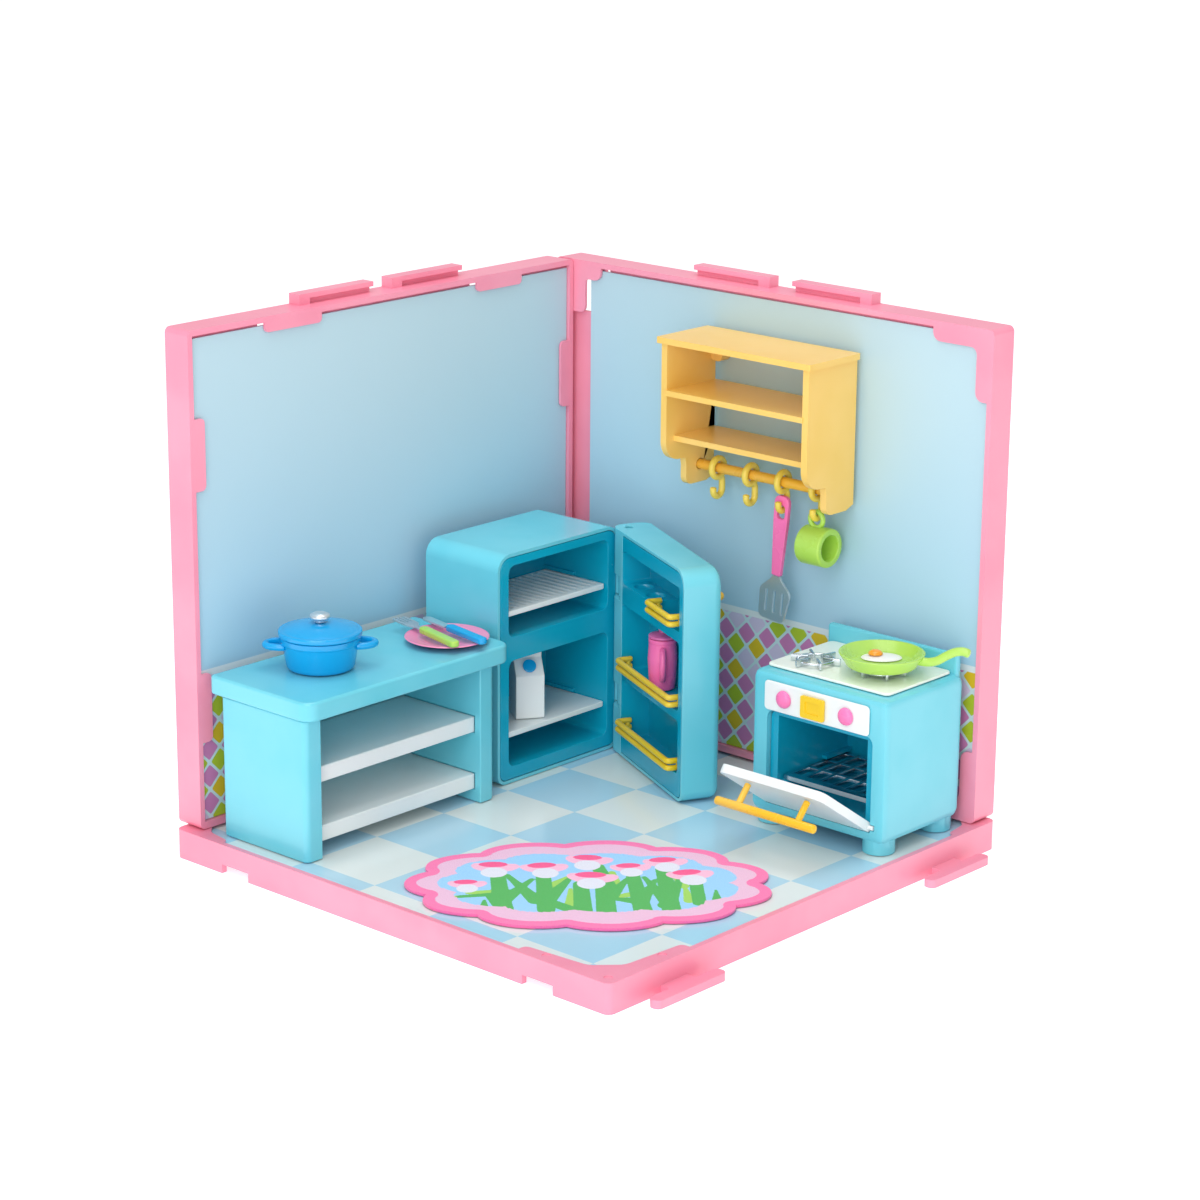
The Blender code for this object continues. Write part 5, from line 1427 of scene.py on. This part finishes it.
class TOYKITCHEN_OT_jug(bpy.types.Operator):
    """Turns the jug and its lid"""

    bl_idname = "toy_kitchen.jug"
    bl_label = "Jug"
    bl_options = {"REGISTER", "UNDO"}

    def execute(self, context):
        make_jug(context.scene.toy_kitchen)
        return {"FINISHED"}


class TOYKITCHEN_OT_milk(bpy.types.Operator):
    """Folds the milk carton and its cap"""

    bl_idname = "toy_kitchen.milk"
    bl_label = "Milk"
    bl_options = {"REGISTER", "UNDO"}

    def execute(self, context):
        make_milk(context.scene.toy_kitchen)
        return {"FINISHED"}


class TOYKITCHEN_OT_stove(bpy.types.Operator):
    """Builds the stove and its controls"""

    bl_idname = "toy_kitchen.stove"
    bl_label = "Stove"
    bl_options = {"REGISTER", "UNDO"}

    def execute(self, context):
        make_stove(context.scene.toy_kitchen)
        return {"FINISHED"}


class TOYKITCHEN_OT_grates(bpy.types.Operator):
    """Sets the prongs round the burners"""

    bl_idname = "toy_kitchen.grates"
    bl_label = "Grates"
    bl_options = {"REGISTER", "UNDO"}

    def execute(self, context):
        make_grates(context.scene.toy_kitchen)
        return {"FINISHED"}


class TOYKITCHEN_OT_oven(bpy.types.Operator):
    """Builds the oven door and rack"""

    bl_idname = "toy_kitchen.oven"
    bl_label = "Oven"
    bl_options = {"REGISTER", "UNDO"}

    def execute(self, context):
        make_oven(context.scene.toy_kitchen)
        return {"FINISHED"}


class TOYKITCHEN_OT_pan(bpy.types.Operator):
    """Turns the frying pan and the egg"""

    bl_idname = "toy_kitchen.pan"
    bl_label = "Frying pan"
    bl_options = {"REGISTER", "UNDO"}

    def execute(self, context):
        make_pan(context.scene.toy_kitchen)
        return {"FINISHED"}


class TOYKITCHEN_OT_wall_shelf(bpy.types.Operator):
    """Builds the wall shelf and its rail"""

    bl_idname = "toy_kitchen.wall_shelf"
    bl_label = "Wall shelf"
    bl_options = {"REGISTER", "UNDO"}

    def execute(self, context):
        make_wall_shelf(context.scene.toy_kitchen)
        return {"FINISHED"}


class TOYKITCHEN_OT_hooks(bpy.types.Operator):
    """Bends the four hooks"""

    bl_idname = "toy_kitchen.hooks"
    bl_label = "Hooks"
    bl_options = {"REGISTER", "UNDO"}

    def execute(self, context):
        make_hooks(context.scene.toy_kitchen)
        return {"FINISHED"}


class TOYKITCHEN_OT_utensils(bpy.types.Operator):
    """Makes the spatula and the mug"""

    bl_idname = "toy_kitchen.utensils"
    bl_label = "Utensils"
    bl_options = {"REGISTER", "UNDO"}

    def execute(self, context):
        make_utensils(context.scene.toy_kitchen)
        return {"FINISHED"}


class TOYKITCHEN_OT_stage(bpy.types.Operator):
    """Adds the ground, lights and camera"""

    bl_idname = "toy_kitchen.stage"
    bl_label = "Stage"
    bl_options = {"REGISTER", "UNDO"}

    def execute(self, context):
        make_stage(context.scene.toy_kitchen)
        return {"FINISHED"}


OPERATORS = (
    TOYKITCHEN_OT_room,
    TOYKITCHEN_OT_cards,
    TOYKITCHEN_OT_rug,
    TOYKITCHEN_OT_counter,
    TOYKITCHEN_OT_pot,
    TOYKITCHEN_OT_tableware,
    TOYKITCHEN_OT_fridge,
    TOYKITCHEN_OT_fridge_door,
    TOYKITCHEN_OT_jug,
    TOYKITCHEN_OT_milk,
    TOYKITCHEN_OT_stove,
    TOYKITCHEN_OT_grates,
    TOYKITCHEN_OT_oven,
    TOYKITCHEN_OT_pan,
    TOYKITCHEN_OT_wall_shelf,
    TOYKITCHEN_OT_hooks,
    TOYKITCHEN_OT_utensils,
    TOYKITCHEN_OT_stage,
)


class TOYKITCHEN_PT_panel(bpy.types.Panel):
    """Buttons that build the toy kitchen piece by piece"""

    bl_label = "Toy kitchen"
    bl_idname = "TOYKITCHEN_PT_panel"
    bl_space_type = "VIEW_3D"
    bl_region_type = "UI"
    bl_category = "Toy kitchen"

    def draw(self, context):
        column = self.layout.column()
        for setting in ("edge", "steps", "panels", "furniture", "shelf"):
            column.prop(context.scene.toy_kitchen, setting)
        for made in OPERATORS:
            column.operator(made.bl_idname)


CLASSES = (ToyKitchenSettings, *OPERATORS, TOYKITCHEN_PT_panel)


def register():
    for made in CLASSES:
        bpy.utils.register_class(made)
    bpy.types.Scene.toy_kitchen = bpy.props.PointerProperty(type=ToyKitchenSettings)


def unregister():
    del bpy.types.Scene.toy_kitchen
    for made in reversed(CLASSES):
        bpy.utils.unregister_class(made)


def main():
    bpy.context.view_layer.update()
    register()
    for made in OPERATORS:
        getattr(bpy.ops.toy_kitchen, made.bl_idname.split(".")[1])()
    bpy.context.view_layer.update()


if __name__ == "__main__":
    main()
